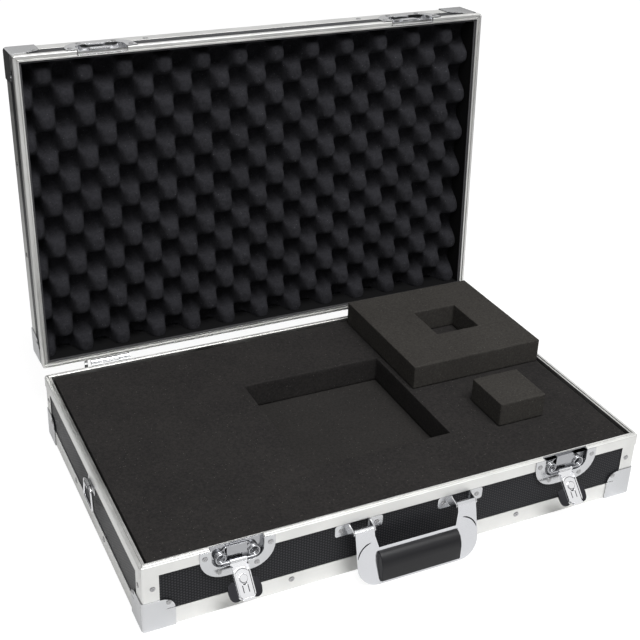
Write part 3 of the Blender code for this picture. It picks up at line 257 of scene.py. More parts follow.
class Graph:
    """A node tree, with short calls for the nodes that are used most."""

    # The Mix node's numbered inputs and output for each kind of value.
    MIX_SOCKETS = {"RGBA": (6, 7, 2), "FLOAT": (2, 3, 0)}

    def __init__(self, tree: bpy.types.NodeTree) -> None:
        """Takes a tree.

        Args:
            tree: the shader, world or geometry tree.
        """
        self.tree = tree

    def feed(self, socket: Socket, value: SocketValue) -> None:
        """Links an output to an input, or sets the input.

        Args:
            socket: the input.
            value: another node's output or a plain value.
        """
        if isinstance(value, Socket):
            self.tree.links.new(value, socket)
        else:
            socket.default_value = value

    def add(
        self,
        kind: str,
        inputs: Optional[dict[Union[str, int], SocketValue]] = None,
        **settings: object,
    ) -> Node:
        """Adds a node, with its settings and what feeds its inputs.

        Args:
            kind: the node's type name.
            inputs: what feeds each named or numbered input.
            **settings: the node's own properties.

        Returns:
            The new node.
        """
        node = self.tree.nodes.new(kind)
        for name, value in settings.items():
            setattr(node, name, value)
        for key, value in (inputs or {}).items():
            self.feed(node.inputs[key], value)
        return node

    def math(self, operation: str, *values: SocketValue) -> Socket:
        """Calculates with numbers.

        Args:
            operation: the Math node's operation.
            *values: its operands in order.

        Returns:
            The result.
        """
        return self.add("ShaderNodeMath", dict(enumerate(values)), operation=operation).outputs[0]

    def ramp(self, value: Socket, ramp: Ramp) -> Socket:
        """Maps a value's range to another, and holds it at the ends.

        Args:
            value: the value.
            ramp: the two ranges.

        Returns:
            The result.
        """
        return self.add("ShaderNodeMapRange", dict(enumerate((value, *ramp)))).outputs[0]

    def mix(
        self, share: Socket, first: SocketValue, second: SocketValue, kind: str = "RGBA"
    ) -> Socket:
        """Mixes two colours or two numbers.

        Args:
            share: the second one's share.
            first: the one at a share of 0.
            second: the one at a share of 1.
            kind: RGBA for colours, FLOAT for numbers.

        Returns:
            The mixture.
        """
        from_socket, to_socket, mixed = self.MIX_SOCKETS[kind]
        inputs = {0: share, from_socket: first, to_socket: second}
        return self.add("ShaderNodeMix", inputs, data_type=kind).outputs[mixed]

    def noise(self, place: Socket, scale: float, detail: float) -> Socket:
        """Gives smooth noise.

        Args:
            place: the coordinates.
            scale: its frequency per metre.
            detail: how many finer layers it has.

        Returns:
            The noise.
        """
        inputs = {"Vector": place, "Scale": scale, "Detail": detail}
        return self.add("ShaderNodeTexNoise", inputs).outputs["Fac"]

    def axes(self, vector: Socket) -> Sequence[Socket]:
        """Splits a vector.

        Args:
            vector: the vector.

        Returns:
            Its parts, under the names X, Y and Z.
        """
        return self.add("ShaderNodeSeparateXYZ", {0: vector}).outputs


class Surface(Graph):
    """A new material's tree, with its shader and its Object coordinates."""

    def __init__(self, name: str, colour: str, **values: SocketValue) -> None:
        """Makes the material.

        Args:
            name: its name.
            colour: its base colour.
            **values: shader inputs by name, with an underscore for each space.
        """
        self.material = bpy.data.materials.new(name)
        self.material.use_nodes = True
        self.material.diffuse_color = linear(colour)
        super().__init__(self.material.node_tree)
        self.shader = self.tree.nodes["Principled BSDF"]
        self.set("Base Color", linear(colour))
        for key, value in values.items():
            self.set(key.replace("_", " "), value)
        coordinates = self.add("ShaderNodeTexCoord").outputs
        self.place = coordinates["Object"]
        self.facing = coordinates["Normal"]

    def set(self, name: str, value: SocketValue) -> None:
        """Feeds one of the shader's inputs.

        Args:
            name: the input's name.
            value: what feeds it.
        """
        self.feed(self.shader.inputs[name], value)

    def wear(self, scale: float, detail: float, low: float, high: float) -> None:
        """Lets the roughness wander in patches.

        Args:
            scale: the patches' frequency per metre.
            detail: how many finer layers they have.
            low: the lowest roughness.
            high: the highest roughness.
        """
        patches = self.noise(self.place, scale, detail)
        self.set("Roughness", self.ramp(patches, Ramp(0.3, 0.7, low, high)))

    def relief(self, height: Socket, strength: float, distance: float) -> None:
        """Gives the surface its fine relief.

        Args:
            height: the relief's height from 0 to 1.
            strength: how much of it is shown.
            distance: how deep it is.
        """
        inputs = {"Height": height, "Strength": strength, "Distance": distance}
        self.set("Normal", self.add("ShaderNodeBump", inputs).outputs[0])


class ShapeTree(Graph):
    """A geometry tree with named inputs, which ends in real faces with a material."""

    def __init__(self, name: str, inputs: dict[str, str]) -> None:
        """Makes the tree.

        Args:
            name: its name.
            inputs: each input's name and kind.
        """
        super().__init__(bpy.data.node_groups.new(name, "GeometryNodeTree"))
        face = self.tree.interface
        for label, kind in inputs.items():
            face.new_socket(label, in_out="INPUT", socket_type="NodeSocket" + kind)
        face.new_socket("Result", in_out="OUTPUT", socket_type="NodeSocketGeometry")
        self.given = self.add("NodeGroupInput").outputs

    def close(self, geometry: Socket, finish: Material) -> None:
        """Ends the tree.

        Args:
            geometry: what it has made.
            finish: the material of its faces.
        """
        real = self.add("GeometryNodeRealizeInstances", {0: geometry}).outputs[0]
        inputs = {"Geometry": real, "Material": finish}
        dressed = self.add("GeometryNodeSetMaterial", inputs).outputs[0]
        self.add("NodeGroupOutput", {0: dressed})

    def run(self, helper: Piece, name: str, values: dict[str, object]) -> Mesh:
        """Runs the tree on a helper object, which then leaves the scene.

        Args:
            helper: the object that carries the tree's input.
            name: the new mesh's name.
            values: what the named inputs are set to.

        Returns:
            A plain mesh.
        """
        modifier = helper.modifiers.new(name, "NODES")
        modifier.node_group = self.tree
        for item in self.tree.interface.items_tree:
            if item.name in values:
                modifier[item.identifier] = values[item.name]
        mesh = evaluated_mesh(helper, name)
        bpy.data.objects.remove(helper)
        return mesh


# The case's own sizes and places


@dataclass(frozen=True)
class CaseSizes:
    """The shell's sizes in metres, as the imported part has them."""

    width: float = 600 * MM
    depth: float = 385 * MM
    base_height: float = 81 * MM
    lid_height: float = 49 * MM
    parting: float = 0.3 * MM
    hinge_out: float = 4.3 * MM
    hinge_up: float = 2.7 * MM
    open_deg: float = 93.0
    latch_at: float = 198.5 * MM
    hinge_at: float = 214.8 * MM

    @property
    def front(self) -> float:
        """World Y of the front face."""
        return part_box("base_corner_cap_front_left")[0].y

    def base_place(self) -> Matrix:
        """From tray coordinates, Y from the near wall and Z from the outer face, to the base."""
        return Matrix.Translation((0.0, self.front, 0.0))

    def lid_place(self) -> Matrix:
        """From the same tray coordinates to the open lid's place."""
        axis = Vector((0.0, self.depth + self.hinge_out, self.base_height + self.hinge_up))
        turn = Matrix.Rotation(math.radians(-self.open_deg), 4, "X")
        swing = Matrix.Translation(axis) @ turn @ Matrix.Translation(-axis)
        height = self.base_height + self.parting + self.lid_height
        shut = Matrix.Translation((0.0, self.depth, height)) @ Matrix.Rotation(math.pi, 4, "X")
        return self.base_place() @ swing @ shut


# Finishes


def linear(hex_colour: str) -> Colour:
    """Turns an sRGB colour into the linear one that a shader takes.

    Args:
        hex_colour: the colour as six hexadecimal digits after a hash.

    Returns:
        Red, green, blue and an alpha of 1.
    """
    channels = []
    for start in (1, 3, 5):
        value = int(hex_colour[start : start + 2], 16) / 255
        channels.append(value / 12.92 if value <= 0.04045 else ((value + 0.055) / 1.055) ** 2.4)
    return (channels[0], channels[1], channels[2], 1.0)


class Grain(Enum):
    """Which way a finish's fine lines run, as noise frequencies along X, Y and Z, per metre."""

    ALONG_X = (6.0, 1400.0, 1400.0)
    ALONG_Y = (1400.0, 6.0, 1400.0)
    ALONG_Z = (1400.0, 1400.0, 6.0)
    ROLLED = (90.0, 90.0, 90.0)


@dataclass(frozen=True)
class Finish:
    """What every finish shares: a name, a colour and how it becomes a material."""

    name: str
    colour: str

    def surface(self) -> Surface:
        """Makes the finish's tree."""
        return Surface(self.name, self.colour)

    def build(self) -> Material:
        """Makes the material."""
        return self.surface().material


@dataclass(frozen=True)
class Metal(Finish):
    """Bare or plated metal: its colour is its reflection, broken by fine lines and handling."""

    roughness: float = 0.4
    spread: float = 0.08
    grain: Grain = Grain.ROLLED
    dull: str = "#cdcdcb"
    GRAIN_DEPTH: ClassVar[float] = 0.008 * MM
    SMUDGES: ClassVar[float] = 22.0

    def surface(self) -> Surface:
        """Makes the metal's tree."""
        made = Surface(self.name, self.colour, Metallic=1.0)
        stretch = {"Vector": made.place, "Scale": self.grain.value}
        fine = made.noise(made.add("ShaderNodeMapping", stretch).outputs[0], scale=1.0, detail=3.0)
        smudge = made.noise(made.place, self.SMUDGES, detail=4.0)
        gloss = Ramp(0.1, 0.4, self.roughness - self.spread, self.roughness + self.spread)
        made.set("Roughness", made.ramp(made.math("MULTIPLY", fine, smudge), gloss))
        made.set("Base Color", made.mix(smudge, linear(self.dull), linear(self.colour)))
        made.relief(fine, strength=0.35, distance=self.GRAIN_DEPTH)
        return made


@dataclass(frozen=True)
class SteelWithCupShade(Metal):
    """Plated sheet whose pressed cup is painted darker than its face: painted shade in the recess.
    """

    # The cup's colour is painted shade, not the plating's own tone.
    cup_shade: str = "#a2a3a6"
    mouth: float = 0.0
    SHADE: ClassVar[float] = 1.5 * MM

    def surface(self) -> Surface:
        """Makes the sheet's tree."""
        made = super().surface()
        face = made.shader.inputs["Base Color"].links[0].from_socket
        # Painted shade: the colour darkens from the cup's mouth inwards.
        cup_shade_share = made.ramp(made.axes(made.place)["Y"], Ramp(self.mouth, self.mouth + self.SHADE))
        made.set("Base Color", made.mix(cup_shade_share, face, linear(self.cup_shade)))
        return made


@dataclass(frozen=True)
class EmbossedLaminate(Finish):
    """Phenolic film on plywood: near black, satin, pressed with a close honeycomb of dots, whose
    crests carry a painted highlight.
    """

    roughness: float = 0.38
    # The real dots are finer than the picture can show, so they are drawn this coarse.
    pitch: float = 3.0 * MM
    press: float = 0.2 * MM
    # The crests' paler colour is painted highlight on the dots.
    crest_highlight: str = "#454649"

    def surface(self) -> Surface:
        """Makes the laminate's tree: three waves that cross on whichever side is seen."""
        made = Surface(self.name, self.colour, Specular_IOR_Level=0.1)
        at, side = made.axes(made.place), made.axes(made.facing)
        is_end, is_flat = self.over_half(made, side["X"]), self.over_half(made, side["Z"])
        across = made.mix(is_end, at["X"], at["Y"], kind="FLOAT")
        up = made.mix(is_flat, at["Z"], at["Y"], kind="FLOAT")
        rate = 2 * math.pi / self.pitch
        wave: SocketValue = 0.0
        for turn in (0.0, math.pi / 3, 2 * math.pi / 3):
            along = made.math("MULTIPLY", across, rate * math.cos(turn))
            phase = made.math("MULTIPLY_ADD", up, rate * math.sin(turn), along)
            wave = made.math("ADD", made.math("COSINE", phase), wave)
        height = made.ramp(wave, Ramp(-1.5, 3.0))
        low, high = self.roughness - 0.06, self.roughness + 0.08
        made.wear(scale=9.0, detail=5.0, low=low, high=high)
        # Painted highlight: the dots' crests are paler than the film.
        made.set("Base Color", made.mix(height, linear(self.colour), linear(self.crest_highlight)))
        made.relief(height, strength=0.8, distance=self.press)
        return made

    def over_half(self, made: Surface, value: Socket) -> Socket:
        """Gives 1 where a direction's share is over a half, either way.

        Args:
            made: the laminate's tree.
            value: the share of the direction.

        Returns:
            The output that is 1 or 0.
        """
        return made.math("GREATER_THAN", made.math("ABSOLUTE", value), 0.5)


@dataclass(frozen=True)
class OpenCellFoam(Finish):
    """Charcoal polyurethane foam: quite matt, pored like bread, with a few pale specks painted as
    glints on cell skins, and, for the lid's shaped foam, painted shade in its hollows.
    """

    light: str = "#45433f"
    # The specks' colour: painted glints on cell skins.
    speck_glint: str = "#76746f"
    # Where set, the colour of the hollows: painted shade.
    hollow_shade: Optional[str] = None
    PORE: ClassVar[float] = 0.8 * MM
    PORE_DEPTH: ClassVar[float] = 0.4 * MM
    CLOUDS: ClassVar[float] = 14.0
    SPECK_SIZE: ClassVar[float] = 0.17
    SPECK_RARITY: ClassVar[float] = 0.94
    HOLLOW_SHADE_AT: ClassVar[Ramp] = Ramp(0.2, -0.8)

    def surface(self) -> Surface:
        """Makes the foam's tree."""
        made = Surface(self.name, self.colour, Roughness=0.95, Specular_IOR_Level=0.08)
        grit = made.noise(made.place, 0.9 / self.PORE, detail=3.0)
        mottle = made.noise(made.place, 0.3 / self.PORE, detail=2.0)
        cloud = made.noise(made.place, self.CLOUDS, detail=3.0)
        blend = made.math("MULTIPLY_ADD", cloud, 0.5, made.math("MULTIPLY_ADD", grit, 0.8, mottle))
        share = made.ramp(blend, Ramp(0.9, 1.4))
        tone = made.mix(share, linear(self.colour), linear(self.light))
        # Pale specks on a few cells: painted glints.
        tone = made.mix(self.glint_specks(made), tone, linear(self.speck_glint))
        # Painted shade: the foam turns near black towards the bottom of its hollows.
        if self.hollow_shade is not None:
            height = made.add("ShaderNodeAttribute", attribute_name="relief").outputs["Fac"]
            tone = made.mix(made.ramp(height, self.HOLLOW_SHADE_AT), tone, linear(self.hollow_shade))
        made.set("Base Color", tone)
        pores = made.math("ADD", self.cells(made, 1.0).outputs["Distance"], grit)
        made.relief(pores, strength=0.5, distance=self.PORE_DEPTH)
        return made

    def cells(self, made: Surface, share: float) -> Node:
        """Adds cells like the foam's pores.

        Args:
            made: the foam's tree.
            share: their frequency as a share of the pores'.

        Returns:
            The Voronoi node.
        """
        return made.add("ShaderNodeTexVoronoi", {"Vector": made.place, "Scale": share / self.PORE})

    def glint_specks(self, made: Surface) -> Socket:
        """Gives 1 on the few cell skins that catch the light, where a pale speck is painted as a
        glint.

        Args:
            made: the foam's tree.

        Returns:
            The output that is 1 or 0.
        """
        cells = self.cells(made, 0.4).outputs
        near = made.math("LESS_THAN", cells["Distance"], self.SPECK_SIZE)
        luck = made.add("ShaderNodeSeparateColor", {0: cells["Color"]}).outputs[0]
        return made.math("MULTIPLY", near, made.math("GREATER_THAN", luck, self.SPECK_RARITY))


@dataclass(frozen=True)
class MouldedPlastic(Finish):
    """Black moulded plastic: even colour, a fine spark-eroded skin and a soft broad gloss."""

    roughness: float = 0.42
    specular: float = 0.3
    SKIN: ClassVar[float] = 0.6 * MM
    SKIN_DEPTH: ClassVar[float] = 0.03 * MM

    def surface(self) -> Surface:
        """Makes the plastic's tree."""
        made = Surface(self.name, self.colour, Specular_IOR_Level=self.specular)
        low, high = self.roughness - 0.05, self.roughness + 0.07
        made.wear(scale=30.0, detail=4.0, low=low, high=high)
        skin = made.noise(made.place, 1 / self.SKIN, detail=2.0)
        made.relief(skin, strength=0.4, distance=self.SKIN_DEPTH)
        return made


@dataclass(frozen=True)
class CutStrip(MouldedPlastic):
    """A dull strip whose cut edge, seen from the front, is paler than its face."""

    edge: str = "#4a4a4c"
    EDGE_AT: ClassVar[Ramp] = Ramp(-0.6, -0.9)

    def surface(self) -> Surface:
        """Makes the strip's tree."""
        made = super().surface()
        is_edge = made.ramp(made.axes(made.facing)["Y"], self.EDGE_AT)
        made.set("Base Color", made.mix(is_edge, linear(self.colour), linear(self.edge)))
        return made


class Finishes:
    """Every material of the case, made once."""

    def __init__(self, sizes: CaseSizes) -> None:
        """Makes the materials.

        Args:
            sizes: the case's sizes, for the finish that changes with depth.
        """
        # Drawn and etched aluminium angle: pale, satin, with faint die lines along its length.
        drawn = "#ebebe9"
        self.profile_x = Metal("anodised_aluminium_x", drawn, grain=Grain.ALONG_X).build()
        self.profile_y = Metal("anodised_aluminium_y", drawn, grain=Grain.ALONG_Y).build()
        self.profile_z = Metal("anodised_aluminium_z", drawn, grain=Grain.ALONG_Z).build()
        self.profile = Metal("anodised_aluminium", drawn).build()
        # Zinc-plated pressed steel: smooth and bright, a little wavy from the press.
        self.plate = Metal(
            "bright_plated_steel", "#cbccce", roughness=0.18, spread=0.05, dull="#bdbec0"
        ).build()
        # Chromed stampings: the sharpest reflections on the case.
        self.chrome = Metal(
            "chromed_steel", "#ebebed", roughness=0.1, spread=0.03, dull="#dfe0e2"
        ).build()
        # The latch dishes: bright plated steel, with painted shade darkening the cup behind its
        # mouth.
        self.dish = SteelWithCupShade(
            "cupped_steel", "#c9cacc", 0.14, spread=0.04, dull="#bcbdbf", mouth=sizes.front
        ).build()
        # Spring wire: drawn steel, greyer than the plated sheet.
        self.wire = Metal(
            "spring_wire", "#b9babd", roughness=0.16, spread=0.04, dull="#a6a7aa"
        ).build()
        # The handle's frame: bright plating, a little softer than the latches'.
        self.handle = Metal(
            "plated_handle_steel", "#d3d4d7", roughness=0.13, spread=0.04, dull="#c6c7ca"
        ).build()
        # Black nickel: a dark mirror.
        self.dark = Metal(
            "black_nickel_steel", "#46464a", roughness=0.1, spread=0.03, dull="#242427"
        ).build()
        # Aluminium blind rivets: flat heads, duller than the sheet under them.
        self.rivet = Metal("aluminium_rivet", "#b2b2b3", roughness=0.27, dull="#929293").build()
        # The bottom of an engraved line, where the polish stops.
        # Dark lines of painted shade: in gaps, steps and slots of the latches and along the handle
        # legs' arcs.
        self.painted_lines = Metal("engraved_line", "#2f3032", spread=0.05, dull="#26272a").build()
        # The plywood's film, near black.
        self.laminate = EmbossedLaminate("embossed_phenolic_film", "#1c1c1f").build()
        # Polyurethane foams: the pick foam's sawn face, its torn pieces, the pad and the lid's.
        self.pick = OpenCellFoam("pick_foam_charcoal", "#282727", light="#363433").build()
        self.cut = OpenCellFoam("picked_foam_charcoal", "#373533", light="#464441").build()
        self.pad = OpenCellFoam("base_foam_charcoal", "#2d2c2b", light="#383635").build()
        # The lid's foam gets painted shade in its hollows.
        self.egg = OpenCellFoam(
            "egg_crate_foam_black", "#252528", light="#333337", speck_glint="#6d6e71", hollow_shade="#08080a"
        ).build()
        # The handle's grip, moulded plastic.
        self.grip = MouldedPlastic("moulded_grip_black", "#17171a", roughness=0.36).build()
        # The lid's lining, a strip cut from dull plastic sheet.
        self.lining = CutStrip(
            "lining_strip_grey", "#121213", roughness=0.75, specular=0.12
        ).build()


# The rigid pieces


@dataclass
class Shell:
    """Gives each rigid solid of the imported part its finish."""

    finishes: Finishes
    nodes: dict[str, Piece]

    def finish_of(self, name: str) -> Optional[Material]:
        """Picks the material for one solid.

        Args:
            name: the solid's name.

        Returns:
            Its material, or None where a foam piece stands for it.
        """
        made = self.finishes
        table: tuple[tuple[tuple[str, ...], Material], ...] = (
            (("floor_panel", "top_panel", "wall_frame"), made.laminate),
            (("rim_front", "rim_back"), made.profile_x),
            (("rim_left", "rim_right"), made.profile_y),
            (("corner_post",), made.profile_z),
            (("edge_frame",), made.profile),
            (("corner_cap", "hinge_", "strap_bracket", "handle_bracket"), made.plate),
            (("latch_butterfly",), made.dark),
            (("latch_dish",), made.dish),
            (("latch_spring",), made.wire),
            (("handle_frame",), made.handle),
            (("latch_", "strap_ring"), made.chrome),
            (("handle_grip",), made.grip),
            (("lid_lining",), made.lining),
        )
        for words, material in table:
            if any(word in name for word in words):
                return material
        return None

    def dress(self) -> None:
        """Puts the materials on the solids."""
        for name, solid in self.nodes.items():
            material = self.finish_of(name)
            if material is not None:
                solid.data.materials.clear()
                solid.data.materials.append(material)
        LOG.info("shell: %d solids dressed", len(self.nodes))


@dataclass
class EasedFitting:
    """A solid's merged copy, with its edges eased and its curves smooth."""

    node: str
    body: str
    slot: str
    finish: Material
    ease: float
    merge_flats: bool
    lid_place: Matrix
    WELD: ClassVar[float] = 0.002 * MM
    FLAT_DEG: ClassVar[float] = 0.6
    CREASE_DEG: ClassVar[float] = 30.0
    # The photograph shows shorter outer legs on the lid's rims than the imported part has.
    LEG_END: ClassVar[float] = 36.0 * MM
    LEG_CUT: ClassVar[float] = 6.8 * MM
    LEVEL: ClassVar[float] = 0.5 * MM

    def build(self, solid: Piece) -> Piece:
        """Makes the fitting over its solid.

        Args:
            solid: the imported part's solid.

        Returns:
            The fitting.
        """
        name = "eased_" + self.node
        mesh = bpy.data.meshes.new(name)
        shape = bmesh.new()
        shape.from_mesh(solid.data)
        shape.transform(solid.matrix_world)
        bmesh.ops.remove_doubles(shape, verts=shape.verts, dist=self.WELD)
        if self.node.startswith("lid_corner_post_"):
            self.lengthen_post(shape)
        if self.node.startswith("lid_rim_"):
            self.shorten_leg(shape)
        if self.merge_flats:
            limit = math.radians(self.FLAT_DEG)
            bmesh.ops.dissolve_limit(
                shape, angle_limit=limit, verts=shape.verts, edges=shape.edges, delimit={"NORMAL"}
            )
        shape.to_mesh(mesh)
        shape.free()
        mesh.shade_smooth()
        piece = new_object(name, mesh)
        ease_edges(piece, self.ease, self.CREASE_DEG, slide=self.merge_flats, flat=True)
        return seat(piece, self.finish, self.body, self.node)

    def lengthen_post(self, shape: bmesh.types.BMesh) -> None:
        """Lengthens a lid post to meet the shortened legs.

        Args:
            shape: the post's mesh, in the world's coordinates.
        """
        for corner in shape.verts:
            at = self.lid_place.inverted() @ corner.co
            if abs(at.z - self.LEG_END) < self.LEVEL:
                corner.co = self.lid_place @ Vector((at.x, at.y, at.z + self.LEG_CUT))

    def shorten_leg(self, shape: bmesh.types.BMesh) -> None:
        """Cuts a lid rim off at the end of its shortened outer leg.

        Args:
            shape: the rim's mesh, in the world's coordinates.
        """
        level = self.lid_place @ Vector((0.0, 0.0, self.LEG_END + self.LEG_CUT))
        up = self.lid_place.to_3x3() @ Vector((0.0, 0.0, 1.0))
        parts = list(shape.verts) + list(shape.edges) + list(shape.faces)
        cut = bmesh.ops.bisect_plane(
            shape, geom=parts, plane_co=level, plane_no=up, clear_inner=True
        )
        edges = [part for part in cut["geom_cut"] if isinstance(part, bmesh.types.BMEdge)]
        bmesh.ops.holes_fill(shape, edges=edges, sides=0)
        bmesh.ops.recalc_face_normals(shape, faces=shape.faces)


class Fittings:
    """Which rigid pieces are made again with eased edges, and how softly."""

    EASES: tuple[tuple[str, float], ...] = (
        ("handle_grip", 1.3 * MM),
        ("latch_butterfly", 0.5 * MM),
        ("latch_arm", 0.4 * MM),
        ("latch_hook", 0.25 * MM),
        ("handle_frame", 0.45 * MM),
        ("handle_bracket", 0.3 * MM),
        ("latch_dish", 0.25 * MM),
        ("latch_catch", 0.25 * MM),
        ("corner_cap", 0.35 * MM),
        ("strap_ring", 1.2 * MM),
        ("strap_bracket", 0.3 * MM),
        ("hinge_base_leaf", 0.25 * MM),
        ("hinge_lid_leaf", 0.25 * MM),
        ("rim_", 0.4 * MM),
        ("edge_frame", 0.3 * MM),
        ("corner_post", 0.3 * MM),
    )
    # Sheets with holes and cups, whose flat faces can't be merged into one face.
    PIERCED: tuple[str, ...] = ("latch_dish", "latch_catch", "latch_arm", "latch_hook")

    def __init__(self, frame: dict, shell: Shell, sizes: CaseSizes) -> None:
        """Reads each solid's body and slot from the record.

        Args:
            frame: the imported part.
            shell: what picks each solid's finish.
            sizes: the case's sizes.
        """
        record = frame["record"]
        bodies = record["behaviour"]["bodies"]
        self.nodes = frame["nodes"]
        self.body_of = {node: body for body, nodes in bodies.items() for node in nodes}
        self.slot_of = {part["node"]: part["material_slot"] for part in record["subparts"]}
        self.shell = shell
        self.lid_place = sizes.lid_place()

    def build(self) -> None:
        """Makes every fitting of the table."""
        count = 0
        for name, solid in self.nodes.items():
            ease = next((width for word, width in self.EASES if word in name), None)
            finish = self.shell.finish_of(name)
            if ease is None or finish is None:
                continue
            flats = not name.startswith(self.PIERCED)
            body, slot = self.body_of[name], self.slot_of[name]
            EasedFitting(name, body, slot, finish, ease, flats, self.lid_place).build(solid)
            count += 1
        LOG.info("fittings: %d made with eased edges", count)


@dataclass
class CoilSpring:
    """A latch's double spring: two coils, the bar that the arm turns on, and two tails."""

    hand: str
    centre: float
    sizes: CaseSizes
    finish: Material
    wire: float = 0.75 * MM
    coil: float = 5.5 * MM
    coil_at: float = 17.85 * MM
    coil_up: float = 66.8 * MM
    start: float = -0.9 * MM
    lead: float = 2.0 * MM
    turns: float = 2.5
    sides: int = 12
    steps: int = 28
    BAR: ClassVar[tuple[float, ...]] = (0.0, 6.0, 12.0, 16.0)
    TAIL: ClassVar[tuple[Pair, ...]] = (
        (15.6, 72.9), (14.4, 74.2), (13.2, 75.6), (11.4, 76.4), (6.0, 76.5), (1.6, 76.5)
    )

    def half_path(self) -> list[Vector]:
        """The wire's middle line from the bar's middle to one tail's end, in tray coordinates."""
        bar_up = self.coil_up - self.coil
        points = [Vector((x * MM, self.start, bar_up)) for x in self.BAR]
        for index in range(round(self.turns * self.steps) + 1):
            turn = index / self.steps
            angle = 2 * math.pi * turn
            x = self.coil_at + self.coil * math.sin(angle)
            z = self.coil_up - self.coil * math.cos(angle)
            points.append(Vector((x, self.start + self.lead * turn, z)))
        last = self.start + self.lead * self.turns
        points += [Vector((x * MM, last, up * MM)) for x, up in self.TAIL]
        return points

    def build(self) -> Piece:
        """Makes the spring over its plain solid."""
        right = self.half_path()
        path = [Vector((-point.x, point.y, point.z)) for point in right[:0:-1]] + right
        place = self.sizes.base_place() @ Matrix.Translation((self.centre, 0.0, 0.0))
        angles = [2 * math.pi * step / self.sides for step in range(self.sides)]
        side = Vector((0.0, 1.0, 0.0))
        rings: list[list[Vector]] = []
        for index, point in enumerate(path):
            before, after = path[max(0, index - 1)], path[min(len(path) - 1, index + 1)]
            along = (after - before).normalized()
            side = (side - along * side.dot(along)).normalized()
            other = along.cross(side)
            outs = [side * math.cos(angle) + other * math.sin(angle) for angle in angles]
            rings.append([place @ (point + out * self.wire) for out in outs])
        mesh = swept("wound_spring_" + self.hand, rings)
        mesh.shade_smooth()
        mesh.set_sharp_from_angle(angle=math.radians(SHARP_DEG))
        piece = new_object(mesh.name, mesh)
        return seat(piece, self.finish, "base", "latch_spring_" + self.hand)


class ShadeMark(NamedTuple):
    """Where a dark line of painted shade is drawn: its name, its body and its flat face's place in
    the world.
    """

    name: str
    body: str
    place: Matrix

    def fill(self, mesh: Mesh, finish: Material) -> Piece:
        """Seats the line's dark strip of painted shade in the face.

        Args:
            mesh: its thin strip.
            finish: its material.

        Returns:
            The strip.
        """
        return seat(new_object(self.name, mesh), finish, self.body)


class Arc(NamedTuple):
    """An arc in a flat face: its centre, its radius, where it runs and its line's width."""

    x: float
    y: float
    radius: float
    start_deg: float
    end_deg: float
    wide: float


@dataclass
class ShadeLines:
    """Dark strips of painted shade: a ring on the post's head, the hook plate's crown step and its
    slots in the latches, and a line along each handle leg's arc.
    """

    sizes: CaseSizes
    finish: Material
    handle_hang_deg: float = 14.45
    handle_out: float = 3.2 * MM
    arm_hang_deg: float = 45.0
    head_out: float = 2.0 * MM
    plate_out: float = 0.95 * MM
    proud: float = 0.05 * MM
    steps: int = 28
    slot_at: Pair = (2.9 * MM, -29.4 * MM)
    slot_half: Pair = (0.45 * MM, 3.75 * MM)
    HANDLE_PIVOT: ClassVar[Vector] = Vector((0.0, -9.5 * MM, 61 * MM))
    ARM_PIVOT: ClassVar[Vector] = Vector((0.0, -0.9 * MM, 61.3 * MM))
    LEGS: ClassVar[dict[str, Arc]] = {
        "left": Arc(-53 * MM, -33 * MM, 19.3 * MM, 98.0, 168.0, 1.5 * MM),
        "right": Arc(53 * MM, -33 * MM, 19.3 * MM, 12.0, 82.0, 1.5 * MM),
    }
    POST: ClassVar[Arc] = Arc(0.0, -19.0 * MM, 4.2 * MM, 0.0, 359.0, 0.5 * MM)
    CROWN: ClassVar[Arc] = Arc(0.0, -18.0 * MM, 8.6 * MM, 32.0, 148.0, 0.6 * MM)

    def face_place(self, pivot: Vector, hang_deg: float, out: float) -> Matrix:
        """From a hanging piece's own flat face, X across and Y up along it, to the world.

        Args:
            pivot: the point it hangs from, in tray coordinates.
            hang_deg: how far it hangs out from the wall.
            out: how far its face lies outside the pivot's plane.

        Returns:
            The matrix.
        """
        turn = Matrix.Rotation(math.radians(90 - hang_deg), 4, "X")
        hung = self.sizes.base_place() @ Matrix.Translation(pivot) @ turn
        return hung @ Matrix.Translation((0.0, 0.0, out))

    def build(self) -> None:
        """Draws every dark line of painted shade."""
        place = self.face_place(self.HANDLE_PIVOT, self.handle_hang_deg, self.handle_out)
        for hand, arc in self.LEGS.items():
            self.cut(ShadeMark("leg_line_" + hand, "handle", place), arc)
        for hand, side in HANDS:
            middle = Vector((side * self.sizes.latch_at, 0.0, 0.0))
            self.latch_lines(hand, middle + self.ARM_PIVOT)

    def latch_lines(self, hand: str, pivot: Vector) -> None:
        """Draws painted shade: the ring on the post's head, the line along the hook plate's crown
        and its two slots.

        Args:
            hand: left or right.
            pivot: the arm's pivot, in tray coordinates.
        """
        head = self.face_place(pivot, self.arm_hang_deg, self.head_out)
        plate = self.face_place(pivot, self.arm_hang_deg, self.plate_out)
        hook = "latch_hook_" + hand
        self.cut(ShadeMark("post_line_" + hand, "latch_arm_" + hand, head), self.POST)
        self.cut(ShadeMark("crown_line_" + hand, hook, plate), self.CROWN)
        half = Vector((*self.slot_half, self.proud))
        for letter, side in (("a", -1), ("b", 1)):
            middle = Vector((side * self.slot_at[0], self.slot_at[1], 0.0))
            slot = ShadeMark(f"hook_slot_{hand}_{letter}", hook, plate)
            mesh = box_mesh(slot.name, [(middle - half, middle + half)], plate)
            slot.fill(mesh, self.finish)

    def cut(self, line: ShadeMark, arc: Arc) -> Piece:
        """Draws a thin dark line of painted shade along an arc, as a strip that lies in the face.

        Args:
            line: where the line is drawn.
            arc: its run.

        Returns:
            The strip.
        """
        rings: list[list[Vector]] = []
        for index in range(self.steps + 1):
            share = index / self.steps
            angle = math.radians(arc.start_deg + (arc.end_deg - arc.start_deg) * share)
            thin = arc.wide * min(1.0, 0.25 + 4 * min(share, 1 - share))
            ring = []
            for across, up in ((-0.5, -1.0), (0.5, -1.0), (0.5, 1.0), (-0.5, 1.0)):
                out = arc.radius + across * thin
                x, y = arc.x + out * math.cos(angle), arc.y + out * math.sin(angle)
                ring.append(line.place @ Vector((x, y, up * self.proud)))
            rings.append(ring)
        return line.fill(swept(line.name, rings), self.finish)


